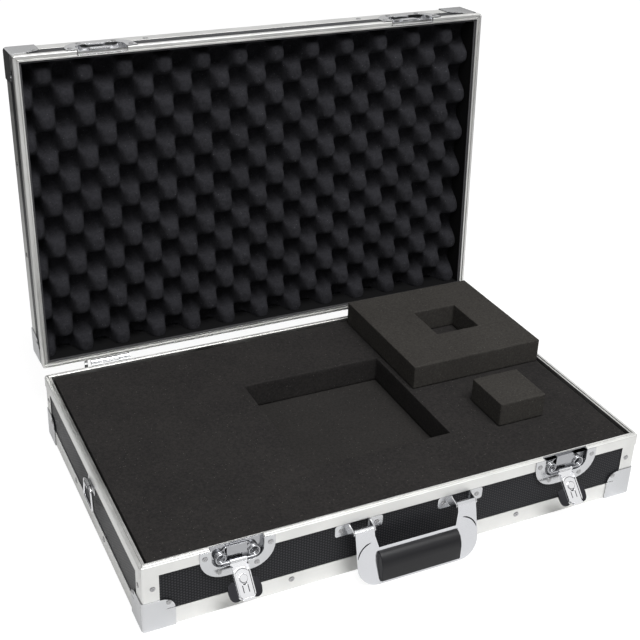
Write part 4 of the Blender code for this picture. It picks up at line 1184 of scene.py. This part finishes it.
@dataclass
class LaminateBand:
    """The film that stands level with the lid's edge angles, between them and the rim's legs."""

    sizes: CaseSizes
    finish: Material
    outer: float = 1.15 * MM
    inner: float = 2.3 * MM
    low: float = 21.3 * MM
    high: float = 42.5 * MM
    corner: float = 21.0 * MM
    catch_half: float = 29.6 * MM

    def build(self) -> Piece:
        """Makes the strips of film, which leave out the catches' cups."""
        half, deep = self.sizes.width / 2, self.sizes.depth
        long, short = half - self.corner, deep - self.corner
        near_cup = self.sizes.latch_at - self.catch_half
        far_cup = self.sizes.latch_at + self.catch_half
        edges = [
            (start, deep - self.inner, end, deep - self.outer)
            for start, end in ((-long, -far_cup), (-near_cup, near_cup), (far_cup, long))
        ]
        edges += [
            (-long, self.outer, long, self.inner),
            (-half + self.outer, self.corner, -half + self.inner, short),
            (half - self.inner, self.corner, half - self.outer, short),
        ]
        boxes = [
            (Vector((left, near, self.low)), Vector((right, far, self.high)))
            for left, near, right, far in edges
        ]
        mesh = box_mesh("lid_film", boxes, self.sizes.lid_place())
        return seat(new_object(mesh.name, mesh), self.finish, "lid")


# Rivets


class Rivet(NamedTuple):
    """One rivet: where its head sits in tray coordinates, which way it faces and its size."""

    at: Vector
    facing: Vector
    size: float


@dataclass
class RivetHead:
    """A domed blind rivet head with the small pit that its mandrel leaves."""

    radius: float = 3.3 * MM
    height: float = 0.95 * MM
    pit: float = 0.9 * MM
    sides: int = 16

    def build(self) -> Piece:
        """Makes the head as a helper object that points along Z."""
        profile = (
            (self.radius, -0.2 * MM),
            (self.radius, 0.35 * self.height),
            (0.86 * self.radius, 0.72 * self.height),
            (0.6 * self.radius, 0.95 * self.height),
            (1.25 * self.pit, self.height),
            (self.pit, 0.9 * self.height),
            (0.7 * self.pit, 0.5 * self.height),
        )
        turns = [2 * math.pi * index / self.sides for index in range(self.sides)]
        rings = [
            [Vector((out * math.cos(turn), out * math.sin(turn), up)) for turn in turns]
            for out, up in profile
        ]
        return new_object("rivet_head", swept("rivet_head", rings))


class RivetField:
    """Sets rivet heads on a body with a Geometry Nodes tree."""

    SEED = 7

    def __init__(self, finish: Material) -> None:
        """Makes the head, and the tree that puts one on each point, turned to face outwards.

        Args:
            finish: the heads' material.
        """
        self.finish = finish
        self.head = RivetHead().build()
        inputs = {"Points": "Geometry", "Head": "Object", "Seed": "Int"}
        self.tree = tree = ShapeTree("rivets_on_points", inputs)
        attribute = "GeometryNodeInputNamedAttribute"
        facing = tree.add(attribute, {"Name": "facing"}, data_type="FLOAT_VECTOR").outputs[0]
        size = tree.add(attribute, {"Name": "size"}, data_type="FLOAT").outputs[0]
        aim = tree.add("FunctionNodeAlignRotationToVector", {"Vector": facing}, axis="Z")
        chance = {2: 0.0, 3: math.pi, "Seed": tree.given["Seed"]}
        spin = tree.add("FunctionNodeRandomValue", chance, data_type="FLOAT").outputs[1]
        own = tree.add("ShaderNodeCombineXYZ", {"Z": spin}).outputs[0]
        both = {0: aim.outputs[0], 1: own}
        turned = tree.add("FunctionNodeRotateRotation", both, rotation_space="LOCAL").outputs[0]
        head = tree.add("GeometryNodeObjectInfo", {"Object": tree.given["Head"]})
        placing = {
            "Points": tree.given["Points"],
            "Instance": head.outputs["Geometry"],
            "Rotation": turned,
            "Scale": size,
        }
        tree.close(tree.add("GeometryNodeInstanceOnPoints", placing).outputs[0], finish)

    def set_on(self, body: str, rivets: Sequence[Rivet], place: Matrix) -> Piece:
        """Makes one mesh of rivets that rides on a body.

        Args:
            body: the body that carries them.
            rivets: the rivets.
            place: from the body's tray coordinates to the world.

        Returns:
            The rivets' object.
        """
        name = body + "_rivets"
        points = bpy.data.meshes.new(name + "_points")
        points.from_pydata([tuple(place @ rivet.at) for rivet in rivets], [], [])
        turn = place.to_3x3()
        facing = points.attributes.new("facing", "FLOAT_VECTOR", "POINT")
        facing.data.foreach_set("vector", [x for rivet in rivets for x in turn @ rivet.facing])
        size = points.attributes.new("size", "FLOAT", "POINT")
        size.data.foreach_set("value", [rivet.size for rivet in rivets])
        helper = new_object(name + "_points", points)
        mesh = self.tree.run(helper, name, {"Head": self.head, "Seed": self.SEED})
        mesh.shade_smooth()
        mesh.set_sharp_from_angle(angle=math.radians(SHARP_DEG))
        LOG.info("%s: %d rivets", name, len(rivets))
        return seat(new_object(name, mesh), self.finish, body)

    def clear(self) -> None:
        """Takes the helper head out of the scene."""
        bpy.data.objects.remove(self.head)


class Wall(NamedTuple):
    """A wall's start on its outer face, its way along, the way it faces and its length."""

    start: Vector
    way: Vector
    facing: Vector
    length: float


class RivetGroup(NamedTuple):
    """A fitting's rivets, in pairs either side of its middle line."""

    pairs: tuple[Pair, ...]
    out: float
    size: float


@dataclass
class Riveting:
    """Where the rivets of each tray sit, in tray coordinates."""

    sizes: CaseSizes
    leg_up: float = 14 * MM
    leg_spots: Pair = (-138 * MM, 140 * MM)
    end_spots: Pair = (138 * MM, 252 * MM)
    post_in: float = 12.5 * MM
    post_up: float = 52 * MM
    tab_in: float = 28.4 * MM
    tab_up: float = 31 * MM
    under_in: float = 11 * MM
    under_spots: tuple[float, ...] = (-200 * MM, -70 * MM, 70 * MM, 200 * MM)
    under_shares: Pair = (0.3, 0.7)
    under_size: float = 0.72
    # The edge angles' and posts' faces lie this far inside the tray's outer faces.
    sunk: float = 1.05 * MM
    bracket_at: float = 61.75 * MM
    strap_at: float = 177.1 * MM

    # Each pair's offset from the fitting's middle and its height, then how far out the heads
    # sit and their share of the full size.
    DISH: ClassVar[RivetGroup] = RivetGroup(
        ((35.2 * MM, 73 * MM), (20.5 * MM, 52 * MM)), 1.05 * MM, 0.9
    )
    CATCH: ClassVar[RivetGroup] = RivetGroup(
        ((35.2 * MM, 41 * MM), (20.5 * MM, 20 * MM)), 1.05 * MM, 0.9
    )
    BRACKET: ClassVar[RivetGroup] = RivetGroup(((21 * MM, 59.5 * MM),), -0.85 * MM, 0.85)
    STRAP: ClassVar[RivetGroup] = RivetGroup(((9.6 * MM, 59.5 * MM),), -0.85 * MM, 0.75)
    BASE_LEAF: ClassVar[RivetGroup] = RivetGroup(((18 * MM, 63 * MM),), 1.45 * MM, 0.85)
    LID_LEAF: ClassVar[RivetGroup] = RivetGroup(((18 * MM, 26 * MM),), 1.45 * MM, 0.85)

    def walls(self) -> list[Wall]:
        """The near, far, left and right wall."""
        wide, deep = self.sizes.width, self.sizes.depth
        x, y = Vector((1.0, 0.0, 0.0)), Vector((0.0, 1.0, 0.0))
        near_left = Vector((-wide / 2, 0.0, 0.0))
        return [
            Wall(near_left, x, -y, wide),
            Wall(near_left + y * deep, x, y, wide),
            Wall(near_left, y, -x, deep),
            Wall(-near_left, y, x, deep),
        ]

    def on_wall(self, wall: Wall, along: float, up: float, out: float, size: float) -> Rivet:
        """Places one rivet on a wall.

        Args:
            wall: the wall.
            along: how far along it.
            up: how far up from the tray's outer face.
            out: how far outside the wall's outer plane; negative is inside it.
            size: the head's share of the full size.

        Returns:
            The rivet.
        """
        at = wall.start + wall.way * along + wall.facing * out + Vector((0.0, 0.0, up))
        return Rivet(at, wall.facing, size)

    def group(self, wall: Wall, middles: Sequence[float], group: RivetGroup) -> list[Rivet]:
        """Places the rivets of like fittings on a wall.

        Args:
            wall: the wall.
            middles: how far along it each fitting's middle line is.
            group: a fitting's rivets.

        Returns:
            The rivets.
        """
        return [
            self.on_wall(wall, middle + side * offset, up, group.out, group.size)
            for middle in middles
            for offset, up in group.pairs
            for side in (-1, 1)
        ]

    def either_side(self, offset: float) -> Pair:
        """How far along a long wall two fittings sit, either side of its middle.

        Args:
            offset: each one's distance from the middle.

        Returns:
            The two distances.
        """
        half = self.sizes.width / 2
        return (half - offset, half + offset)

    def tray(self, has_posts: bool) -> list[Rivet]:
        """The rivets that both trays have: in the angle legs, the caps' tabs and the posts.

        Args:
            has_posts: whether the posts are long enough for rivets.

        Returns:
            The rivets.
        """
        rivets: list[Rivet] = []
        half, deep = self.sizes.width / 2, self.sizes.depth
        for wall in self.walls():
            is_long = wall.way.x > 0.5
            spots = [x + half for x in self.leg_spots] if is_long else list(self.end_spots)
            for along in spots:
                rivets.append(self.on_wall(wall, along, self.leg_up, -self.sunk, 1.0))
            for along in (self.tab_in, wall.length - self.tab_in):
                rivets.append(self.on_wall(wall, along, self.tab_up, 0.0, 0.9))
            if has_posts:
                for along in (self.post_in, wall.length - self.post_in):
                    rivets.append(self.on_wall(wall, along, self.post_up, -self.sunk, 0.9))
        under = [(x, y) for x in self.under_spots for y in (self.under_in, deep - self.under_in)]
        ends = (-half + self.under_in, half - self.under_in)
        under += [(x, share * deep) for share in self.under_shares for x in ends]
        down = Vector((0.0, 0.0, -1.0))
        return rivets + [Rivet(Vector((x, y, self.sunk)), down, self.under_size) for x, y in under]

    def base(self) -> list[Rivet]:
        """All the base's rivets, those of its fittings too."""
        near, far, left, right = self.walls()
        return (
            self.tray(has_posts=True)
            + self.group(near, self.either_side(self.sizes.latch_at), self.DISH)
            + self.group(near, self.either_side(self.bracket_at), self.BRACKET)
            + self.group(far, self.either_side(self.sizes.hinge_at), self.BASE_LEAF)
            + self.group(left, (self.strap_at,), self.STRAP)
            + self.group(right, (self.strap_at,), self.STRAP)
        )

    def lid(self) -> list[Rivet]:
        """All the lid's rivets, those of the latch catches and hinge leaves too."""
        near, far, _, _ = self.walls()
        return (
            self.tray(has_posts=False)
            + self.group(far, self.either_side(self.sizes.latch_at), self.CATCH)
            + self.group(near, self.either_side(self.sizes.hinge_at), self.LID_LEAF)
        )


# Foam


@dataclass
class CutFoam:
    """A slab of foam cut to size, with a square hole where pieces were picked out."""

    name: str
    node: str
    body: str
    finish: Material
    slot: str
    hole: Optional[Rectangle] = None
    step: float = 5 * MM
    seed: float = 3.0
    CROWN: ClassVar[float] = 0.5 * MM
    TEAR: ClassVar[float] = 0.35 * MM
    CELL: ClassVar[float] = 15.125 * MM
    EDGE: ClassVar[float] = 0.9 * MM
    EDGE_DEG: ClassVar[float] = 60.0
    SWELLS: ClassVar[float] = 17.0
    TEARS: ClassVar[float] = 90.0
    # Each side of a cell: the neighbour there, the side's first corner and the way to its next.
    SIDES: ClassVar[tuple[tuple[int, ...], ...]] = (
        (-1, 0, 0, 0, 0, 1),
        (1, 0, 1, 0, 0, 1),
        (0, -1, 0, 0, 1, 0),
        (0, 1, 0, 1, 1, 0),
    )

    def lines(self, low: float, high: float, cuts: Sequence[float]) -> list[float]:
        """Spaces grid lines between two ends, through every cut.

        Args:
            low: the first line.
            high: the last line.
            cuts: lines that have to be there.

        Returns:
            The lines in order.
        """
        stops = [low, *[cut for cut in cuts if low < cut < high], high]
        found = [low]
        for start, end in zip(stops, stops[1:]):
            count = max(1, round((end - start) / self.step))
            found += [start + (end - start) * (index + 1) / count for index in range(count)]
        return found

    def build(self) -> Piece:
        """Makes the slab over its plain solid."""
        low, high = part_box(self.node)
        xs = self.lines(low.x, high.x, self.hole[0::2] if self.hole else ())
        ys = self.lines(low.y, high.y, self.hole[1::2] if self.hole else ())
        piece = new_object(self.name, self.lattice(xs, ys, self.lines(low.z, high.z, ())))
        ease_edges(piece, self.EDGE, self.EDGE_DEG)
        self.roughen(piece.data, low)
        piece.data.shade_smooth()
        seat(piece, self.finish, self.body, self.node)
        LOG.info("%s: %d faces", self.name, len(piece.data.polygons))
        return piece

    def lattice(self, xs: Sequence[float], ys: Sequence[float], zs: Sequence[float]) -> Mesh:
        """Makes the closed skin of a block of cells, without the hole's cells.

        Args:
            xs: the grid lines across.
            ys: the grid lines in depth.
            zs: the grid lines up.

        Returns:
            The skin's mesh.
        """

        def is_foam(i: int, j: int) -> bool:
            """Whether the column of cells there is foam."""
            if not (0 <= i < len(xs) - 1 and 0 <= j < len(ys) - 1):
                return False
            if self.hole is None:
                return True
            x, y = (xs[i] + xs[i + 1]) / 2, (ys[j] + ys[j + 1]) / 2
            return not (self.hole[0] < x < self.hole[2] and self.hole[1] < y < self.hole[3])

        numbers: dict[tuple[int, int, int], int] = {}
        faces: list[list[int]] = []

        def add_face(*corners: tuple[int, int, int]) -> None:
            """Adds a face of grid points, which are numbered when they are first used."""
            faces.append([numbers.setdefault(corner, len(numbers)) for corner in corners])

        top = len(zs) - 1
        for i in range(len(xs) - 1):
            for j in range(len(ys) - 1):
                if not is_foam(i, j):
                    continue
                for k in (0, top):
                    add_face((i, j, k), (i + 1, j, k), (i + 1, j + 1, k), (i, j + 1, k))
                for k in range(top):
                    for beside_i, beside_j, a, b, way_a, way_b in self.SIDES:
                        if not is_foam(i + beside_i, j + beside_j):
                            a, b = i + a, j + b
                            c, d = a + way_a, b + way_b
                            add_face((a, b, k), (c, d, k), (c, d, k + 1), (a, b, k + 1))
        return mesh_from(self.name, [(xs[i], ys[j], zs[k]) for i, j, k in numbers], faces)

    def roughen(self, mesh: Mesh, low: Vector) -> None:
        """Draws the skin in: uneven on top, and pinched at each row of pick cells on the sides.

        Args:
            mesh: the slab's mesh, changed in place.
            low: the slab's lowest corner.
        """
        start = self.hole or (low.x, low.y)
        moves: list[Vector] = []
        for vertex in mesh.vertices:
            place, normal = vertex.co, vertex.normal
            swell = 0.5 + 0.5 * noise.noise(place * self.SWELLS + Vector((self.seed, 0.0, 0.0)))
            fine = 0.5 + 0.5 * noise.noise(place * self.TEARS + Vector((0.0, self.seed, 0.0)))
            is_end = abs(normal.x) > abs(normal.y)
            along = place.y - start[1] if is_end else place.x - start[0]
            pinch = 1 - abs(math.sin(math.pi * along / self.CELL)) ** 0.5
            level = abs(normal.z)
            torn = (1 - level) * self.TEAR * (0.6 * fine + pinch)
            moves.append(normal * -(level * self.CROWN * swell + torn))
        for vertex, move in zip(mesh.vertices, moves):
            vertex.co += move


@dataclass
class EggCrateFoam:
    """The lid's convoluted foam, whose face is a wave of peaks and hollows on an oblong pitch."""

    sizes: CaseSizes
    finish: Material
    inset: float = 10.1 * MM
    pitch: Pair = (47.4 * MM, 52.2 * MM)
    first: Pair = (19.5 * MM, 6.5 * MM)
    middle: float = 24.5 * MM
    swing: float = 15 * MM
    back: float = 6.65 * MM
    cells: int = 22
    skin: float = 0.001 * MM
    sharp_deg: float = 60.0
    uneven: Ramp = Ramp(0.0, 1.0, 0.86, 1.14)

    def build_tree(self) -> ShapeTree:
        """Makes the tree that shapes the foam from its named sizes."""
        names = ("Pitch X", "Pitch Y", "First X", "First Y", "Swing")
        sockets = {"Slab": "Geometry", **dict.fromkeys(names, "Float")}
        tree = ShapeTree("convoluted_foam", sockets)
        place = tree.add("GeometryNodeInputPosition").outputs[0]
        at = tree.axes(place)
        waves: list[Socket] = []
        for axis in "XY":
            rate = tree.math("DIVIDE", 2 * math.pi, tree.given["Pitch " + axis])
            along = tree.math("SUBTRACT", at[axis], tree.given["First " + axis])
            waves.append(tree.math("COSINE", tree.math("MULTIPLY", along, rate)))
        wave = tree.math("MULTIPLY", *waves)
        # Two rounds of sine flatten the peaks and the hollows and steepen what is between them.
        for steepness in (math.pi / 2, 1.5):
            wave = tree.math("SINE", tree.math("MULTIPLY", wave, steepness))
        uneven = tree.ramp(tree.noise(place, scale=28.0, detail=2.0), self.uneven)
        height = tree.math("MULTIPLY", wave, uneven)
        lift = tree.math("MULTIPLY", height, tree.given["Swing"])
        is_face = tree.add("FunctionNodeCompare", {0: at["Z"], 1: 0.0}, operation="GREATER_THAN")
        move = {
            "Geometry": tree.given["Slab"],
            "Selection": is_face.outputs[0],
            "Offset": tree.add("ShaderNodeCombineXYZ", {"Z": lift}).outputs[0],
        }
        moved = tree.add("GeometryNodeSetPosition", move).outputs[0]
        relief = tree.math("MULTIPLY", height, is_face.outputs[0])
        marked = tree.add(
            "GeometryNodeStoreNamedAttribute",
            {"Geometry": moved, "Name": "relief", "Value": relief},
            data_type="FLOAT",
            domain="POINT",
        )
        tree.close(marked.outputs[0], self.finish)
        return tree

    def build(self) -> Piece:
        """Makes the foam over its plain solid; the mesh does not flatten as the lid shuts."""
        name, slot = "convoluted_lid_foam", "egg_crate_foam"
        values = {"Swing": self.swing}
        for axis, pitch, first in zip("XY", self.pitch, self.first):
            values |= {"Pitch " + axis: pitch, "First " + axis: first}
        helper = new_object("egg_crate_slab", self.slab())
        mesh = self.build_tree().run(helper, name, values)
        place = self.sizes.lid_place()
        mesh.transform(place @ Matrix.Translation((0.0, self.sizes.depth / 2, self.middle)))
        mesh.shade_smooth()
        mesh.set_sharp_from_angle(angle=math.radians(self.sharp_deg))
        piece = seat(new_object(name, mesh), self.finish, "lid", "egg_crate_foam")
        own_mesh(piece)
        LOG.info("%s: %d faces", name, len(mesh.polygons))
        return piece

    def slab(self) -> Mesh:
        """Makes a closed slab whose upper face is a fine grid just above Z 0."""
        half = (self.sizes.width / 2 - self.inset, self.sizes.depth / 2 - self.inset)
        columns, rows = (round(2 * h / p * self.cells) for h, p in zip(half, self.pitch))
        points: list[Triple] = []
        for up in (self.skin, self.back - self.middle):
            for row in range(rows + 1):
                y = half[1] * (2 * row / rows - 1)
                points += [(half[0] * (2 * n / columns - 1), y, up) for n in range(columns + 1)]
        width = columns + 1
        lower = width * (rows + 1)
        faces: list[list[int]] = []
        for row in range(rows):
            for near in range(row * width, row * width + columns):
                faces.append([near, near + 1, near + width + 1, near + width])
        rim = list(range(width))
        rim += [row * width + columns for row in range(1, rows + 1)]
        rim += [rows * width + column for column in range(columns - 1, -1, -1)]
        rim += [row * width for row in range(rows - 1, 0, -1)]
        for near, after in zip(rim, rim[1:] + rim[:1]):
            faces.append([near, after, lower + after, lower + near])
        faces.append([lower + index for index in rim])
        mesh = mesh_from("egg_crate_slab", points, faces)
        shape = bmesh.new()
        shape.from_mesh(mesh)
        unused = [vertex for vertex in shape.verts if not vertex.link_faces]
        bmesh.ops.delete(shape, geom=unused, context="VERTS")
        shape.to_mesh(mesh)
        shape.free()
        return mesh


@dataclass
class FoamSet:
    """The foam in the base and what was picked out of it."""

    sizes: CaseSizes
    finishes: Finishes
    pocket: Rectangle = (-81 * MM, 90.5 * MM, 100.5 * MM, 272 * MM)
    cube_in: Pair = (68 * MM, 62 * MM)
    cube: float = 61 * MM

    def build(self) -> None:
        """Makes the pad, the pick foam, the picked block and the picked cube."""
        front, made = self.sizes.front, self.finishes
        left, near, right, far = self.pocket
        pocket = (left, front + near, right, front + far)
        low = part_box("foam_block")[0]
        x, y = low.x + self.cube_in[0], low.y + self.cube_in[1]
        hole = (x, y, x + self.cube, y + self.cube)
        fine = 3 * MM
        for foam in (
            CutFoam("base_foam_pad", "foam_base_pad", "base", made.pad, "pad_foam", step=14 * MM),
            CutFoam("pick_foam_sheet", "pick_foam", "base", made.pick, "pick_foam", hole=pocket),
            CutFoam(
                "picked_foam_block", "foam_block", "foam_block", made.cut, "pick_foam", hole, fine
            ),
            CutFoam(
                "picked_foam_cube", "foam_cube", "foam_cube", made.cut, "pick_foam", None, fine, 9.0
            ),
        ):
            foam.build()


# The studio


@dataclass
class Studio:
    """A pale floor, a white surround, soft lamps and the camera."""

    focal_pixels: float = 1165.69
    centre_pixels: Pair = (306.86, 294.95)
    image_pixels: float = 640.0
    eye: Triple = (-0.5378, -1.0594, 0.8361)
    forward: Triple = (0.38340596, 0.79975507, -0.46194339)
    roll_deg: float = 1.84
    sensor: float = 36.0
    target: Triple = (0.0, 0.0, 0.1)
    floor_half: float = 6.0
    # The even light that the surround gives to matt surfaces.
    ambient: float = 0.2
    # What shiny surfaces mirror: a sky that dims towards the horizon and to the left.
    sky_up: Ramp = Ramp(0.05, 0.32, 0.25, 1.0)
    sky_left: Ramp = Ramp(-0.5, 0.1, 0.45, 1.0)
    # The floor they mirror is white round the case and dark beyond it, and dims to the left.
    floor_ahead: Triple = (0.0, 0.35, 0.0)
    floor_far: Ramp = Ramp(0.9, 1.9, 0.88, 0.03)
    floor_left: Ramp = Ramp(-0.8, -0.3, 0.4, 1.0)
    mirror_glow: float = 0.2
    # What lights the case from below, and what the camera sees: a little shade on a glow.
    floor_bounce: Colour = (0.36, 0.36, 0.36, 1.0)
    floor_shade: Colour = (0.2, 0.2, 0.2, 1.0)
    floor_glow: float = 0.92

    def build(self) -> None:
        """Sets up the whole studio."""
        self.world()
        self.floor()
        self.lamp("key_lamp", (0.15, -1.3, 2.7), size=1.6, power=76.0)
        self.lamp("fill_lamp", (-1.8, -2.2, 2.2), size=1.8, power=9.0)
        self.camera()
        bpy.context.scene.view_settings.view_transform = "Standard"
        LOG.info("studio ready")

    def world(self) -> None:
        """Makes a world that is white to the eye, gives even light and shades reflections."""
        world = bpy.data.worlds.new("white_studio")
        world.use_nodes = True
        bpy.context.scene.world = world
        made = Graph(world.node_tree)
        made.tree.nodes.clear()
        direction = made.axes(made.add("ShaderNodeTexCoord").outputs["Generated"])
        path = made.add("ShaderNodeLightPath").outputs
        up, left = made.ramp(direction["Z"], self.sky_up), made.ramp(direction["X"], self.sky_left)
        shown = made.math("MAXIMUM", made.math("MULTIPLY", up, left), path["Is Camera Ray"])
        straight = made.math("MAXIMUM", path["Is Camera Ray"], path["Is Glossy Ray"])
        is_seen = made.math("MAXIMUM", straight, path["Is Transmission Ray"])
        strength = made.mix(is_seen, self.ambient, shown, kind="FLOAT")
        light = made.add("ShaderNodeBackground", {"Color": WHITE, "Strength": strength})
        made.add("ShaderNodeOutputWorld", {"Surface": light.outputs[0]})

    def floor(self) -> None:
        """Makes a white floor that keeps a faint shadow of the case."""
        half = self.floor_half
        corners = [(-half, -half, 0.0), (half, -half, 0.0), (half, half, 0.0), (-half, half, 0.0)]
        floor = new_object("studio_floor", mesh_from("studio_floor", corners, [(0, 1, 2, 3)]))
        made = Surface("matt_white_paper", "#ffffff", Roughness=0.9)
        path = made.add("ShaderNodeLightPath").outputs
        from_spot = {0: made.place, 1: self.floor_ahead}
        ahead = made.add("ShaderNodeVectorMath", from_spot, operation="ADD").outputs[0]
        away = made.add("ShaderNodeVectorMath", {0: ahead}, operation="LENGTH").outputs["Value"]
        left = made.ramp(made.axes(made.place)["X"], self.floor_left)
        mirror = made.math("MULTIPLY", made.ramp(away, self.floor_far), left)
        lit = made.mix(path["Is Glossy Ray"], self.floor_bounce, mirror)
        made.set("Base Color", made.mix(path["Is Camera Ray"], lit, self.floor_shade))
        is_seen = made.math("MAXIMUM", path["Is Camera Ray"], path["Is Transmission Ray"])
        mirrored = made.math("MULTIPLY", mirror, path["Is Glossy Ray"])
        faint = made.math("MULTIPLY", mirrored, self.mirror_glow)
        strength = made.math("MULTIPLY_ADD", is_seen, self.floor_glow, faint)
        glow = made.add("ShaderNodeEmission", {"Color": WHITE, "Strength": strength})
        both = made.add("ShaderNodeAddShader", {0: made.shader.outputs[0], 1: glow.outputs[0]})
        made.feed(made.tree.nodes["Material Output"].inputs["Surface"], both.outputs[0])
        floor.data.materials.append(made.material)

    def lamp(self, name: str, at: Triple, size: float, power: float) -> None:
        """Adds a soft square lamp that points at the case.

        Args:
            name: the lamp's name.
            at: where it stands.
            size: its side.
            power: its power in watts.
        """
        light = bpy.data.lights.new(name, "AREA")
        light.size = size
        light.energy = power
        lamp = bpy.data.objects.new(name, light)
        bpy.context.scene.collection.objects.link(lamp)
        lamp.location = at
        aim = Vector(self.target) - Vector(at)
        lamp.rotation_euler = aim.to_track_quat("-Z", "Y").to_euler()

    def camera(self) -> None:
        """Sets the camera where the photograph's view comes from."""
        lens = bpy.data.cameras.new("camera")
        lens.sensor_width = self.sensor
        lens.lens = self.sensor * self.focal_pixels / self.image_pixels
        middle = self.image_pixels / 2
        lens.shift_x = (middle - self.centre_pixels[0]) / self.image_pixels
        lens.shift_y = (self.centre_pixels[1] - middle) / self.image_pixels
        lens.clip_start = 0.01
        camera = bpy.data.objects.new("camera", lens)
        bpy.context.scene.collection.objects.link(camera)
        forward = Vector(self.forward).normalized()
        right = forward.cross(Vector((0.0, 0.0, 1.0))).normalized()
        up = right.cross(forward)
        roll = math.radians(self.roll_deg)
        turned_right = right * math.cos(roll) + up * math.sin(roll)
        turned_up = up * math.cos(roll) - right * math.sin(roll)
        turn = Matrix((turned_right, turned_up, -forward)).transposed()
        camera.matrix_world = Matrix.Translation(self.eye) @ turn.to_4x4()
        bpy.context.scene.camera = camera


def main() -> None:
    """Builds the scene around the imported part."""
    logging.basicConfig(level=logging.INFO, format="%(name)s: %(message)s")
    for old in list(bpy.data.objects):
        bpy.data.objects.remove(old)
    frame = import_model()
    sizes = CaseSizes()
    finishes = Finishes(sizes)
    Studio().build()
    shell = Shell(finishes, frame["nodes"])
    shell.dress()
    Fittings(frame, shell, sizes).build()
    for hand, side in HANDS:
        CoilSpring(hand, side * sizes.latch_at, sizes, finishes.wire).build()
    ShadeLines(sizes, finishes.painted_lines).build()
    LaminateBand(sizes, finishes.laminate).build()
    FoamSet(sizes, finishes).build()
    EggCrateFoam(sizes, finishes.egg).build()
    riveting = Riveting(sizes)
    rivets = RivetField(finishes.rivet)
    rivets.set_on("base", riveting.base(), sizes.base_place())
    rivets.set_on("lid", riveting.lid(), sizes.lid_place())
    rivets.clear()


if __name__ == "__main__":
    main()
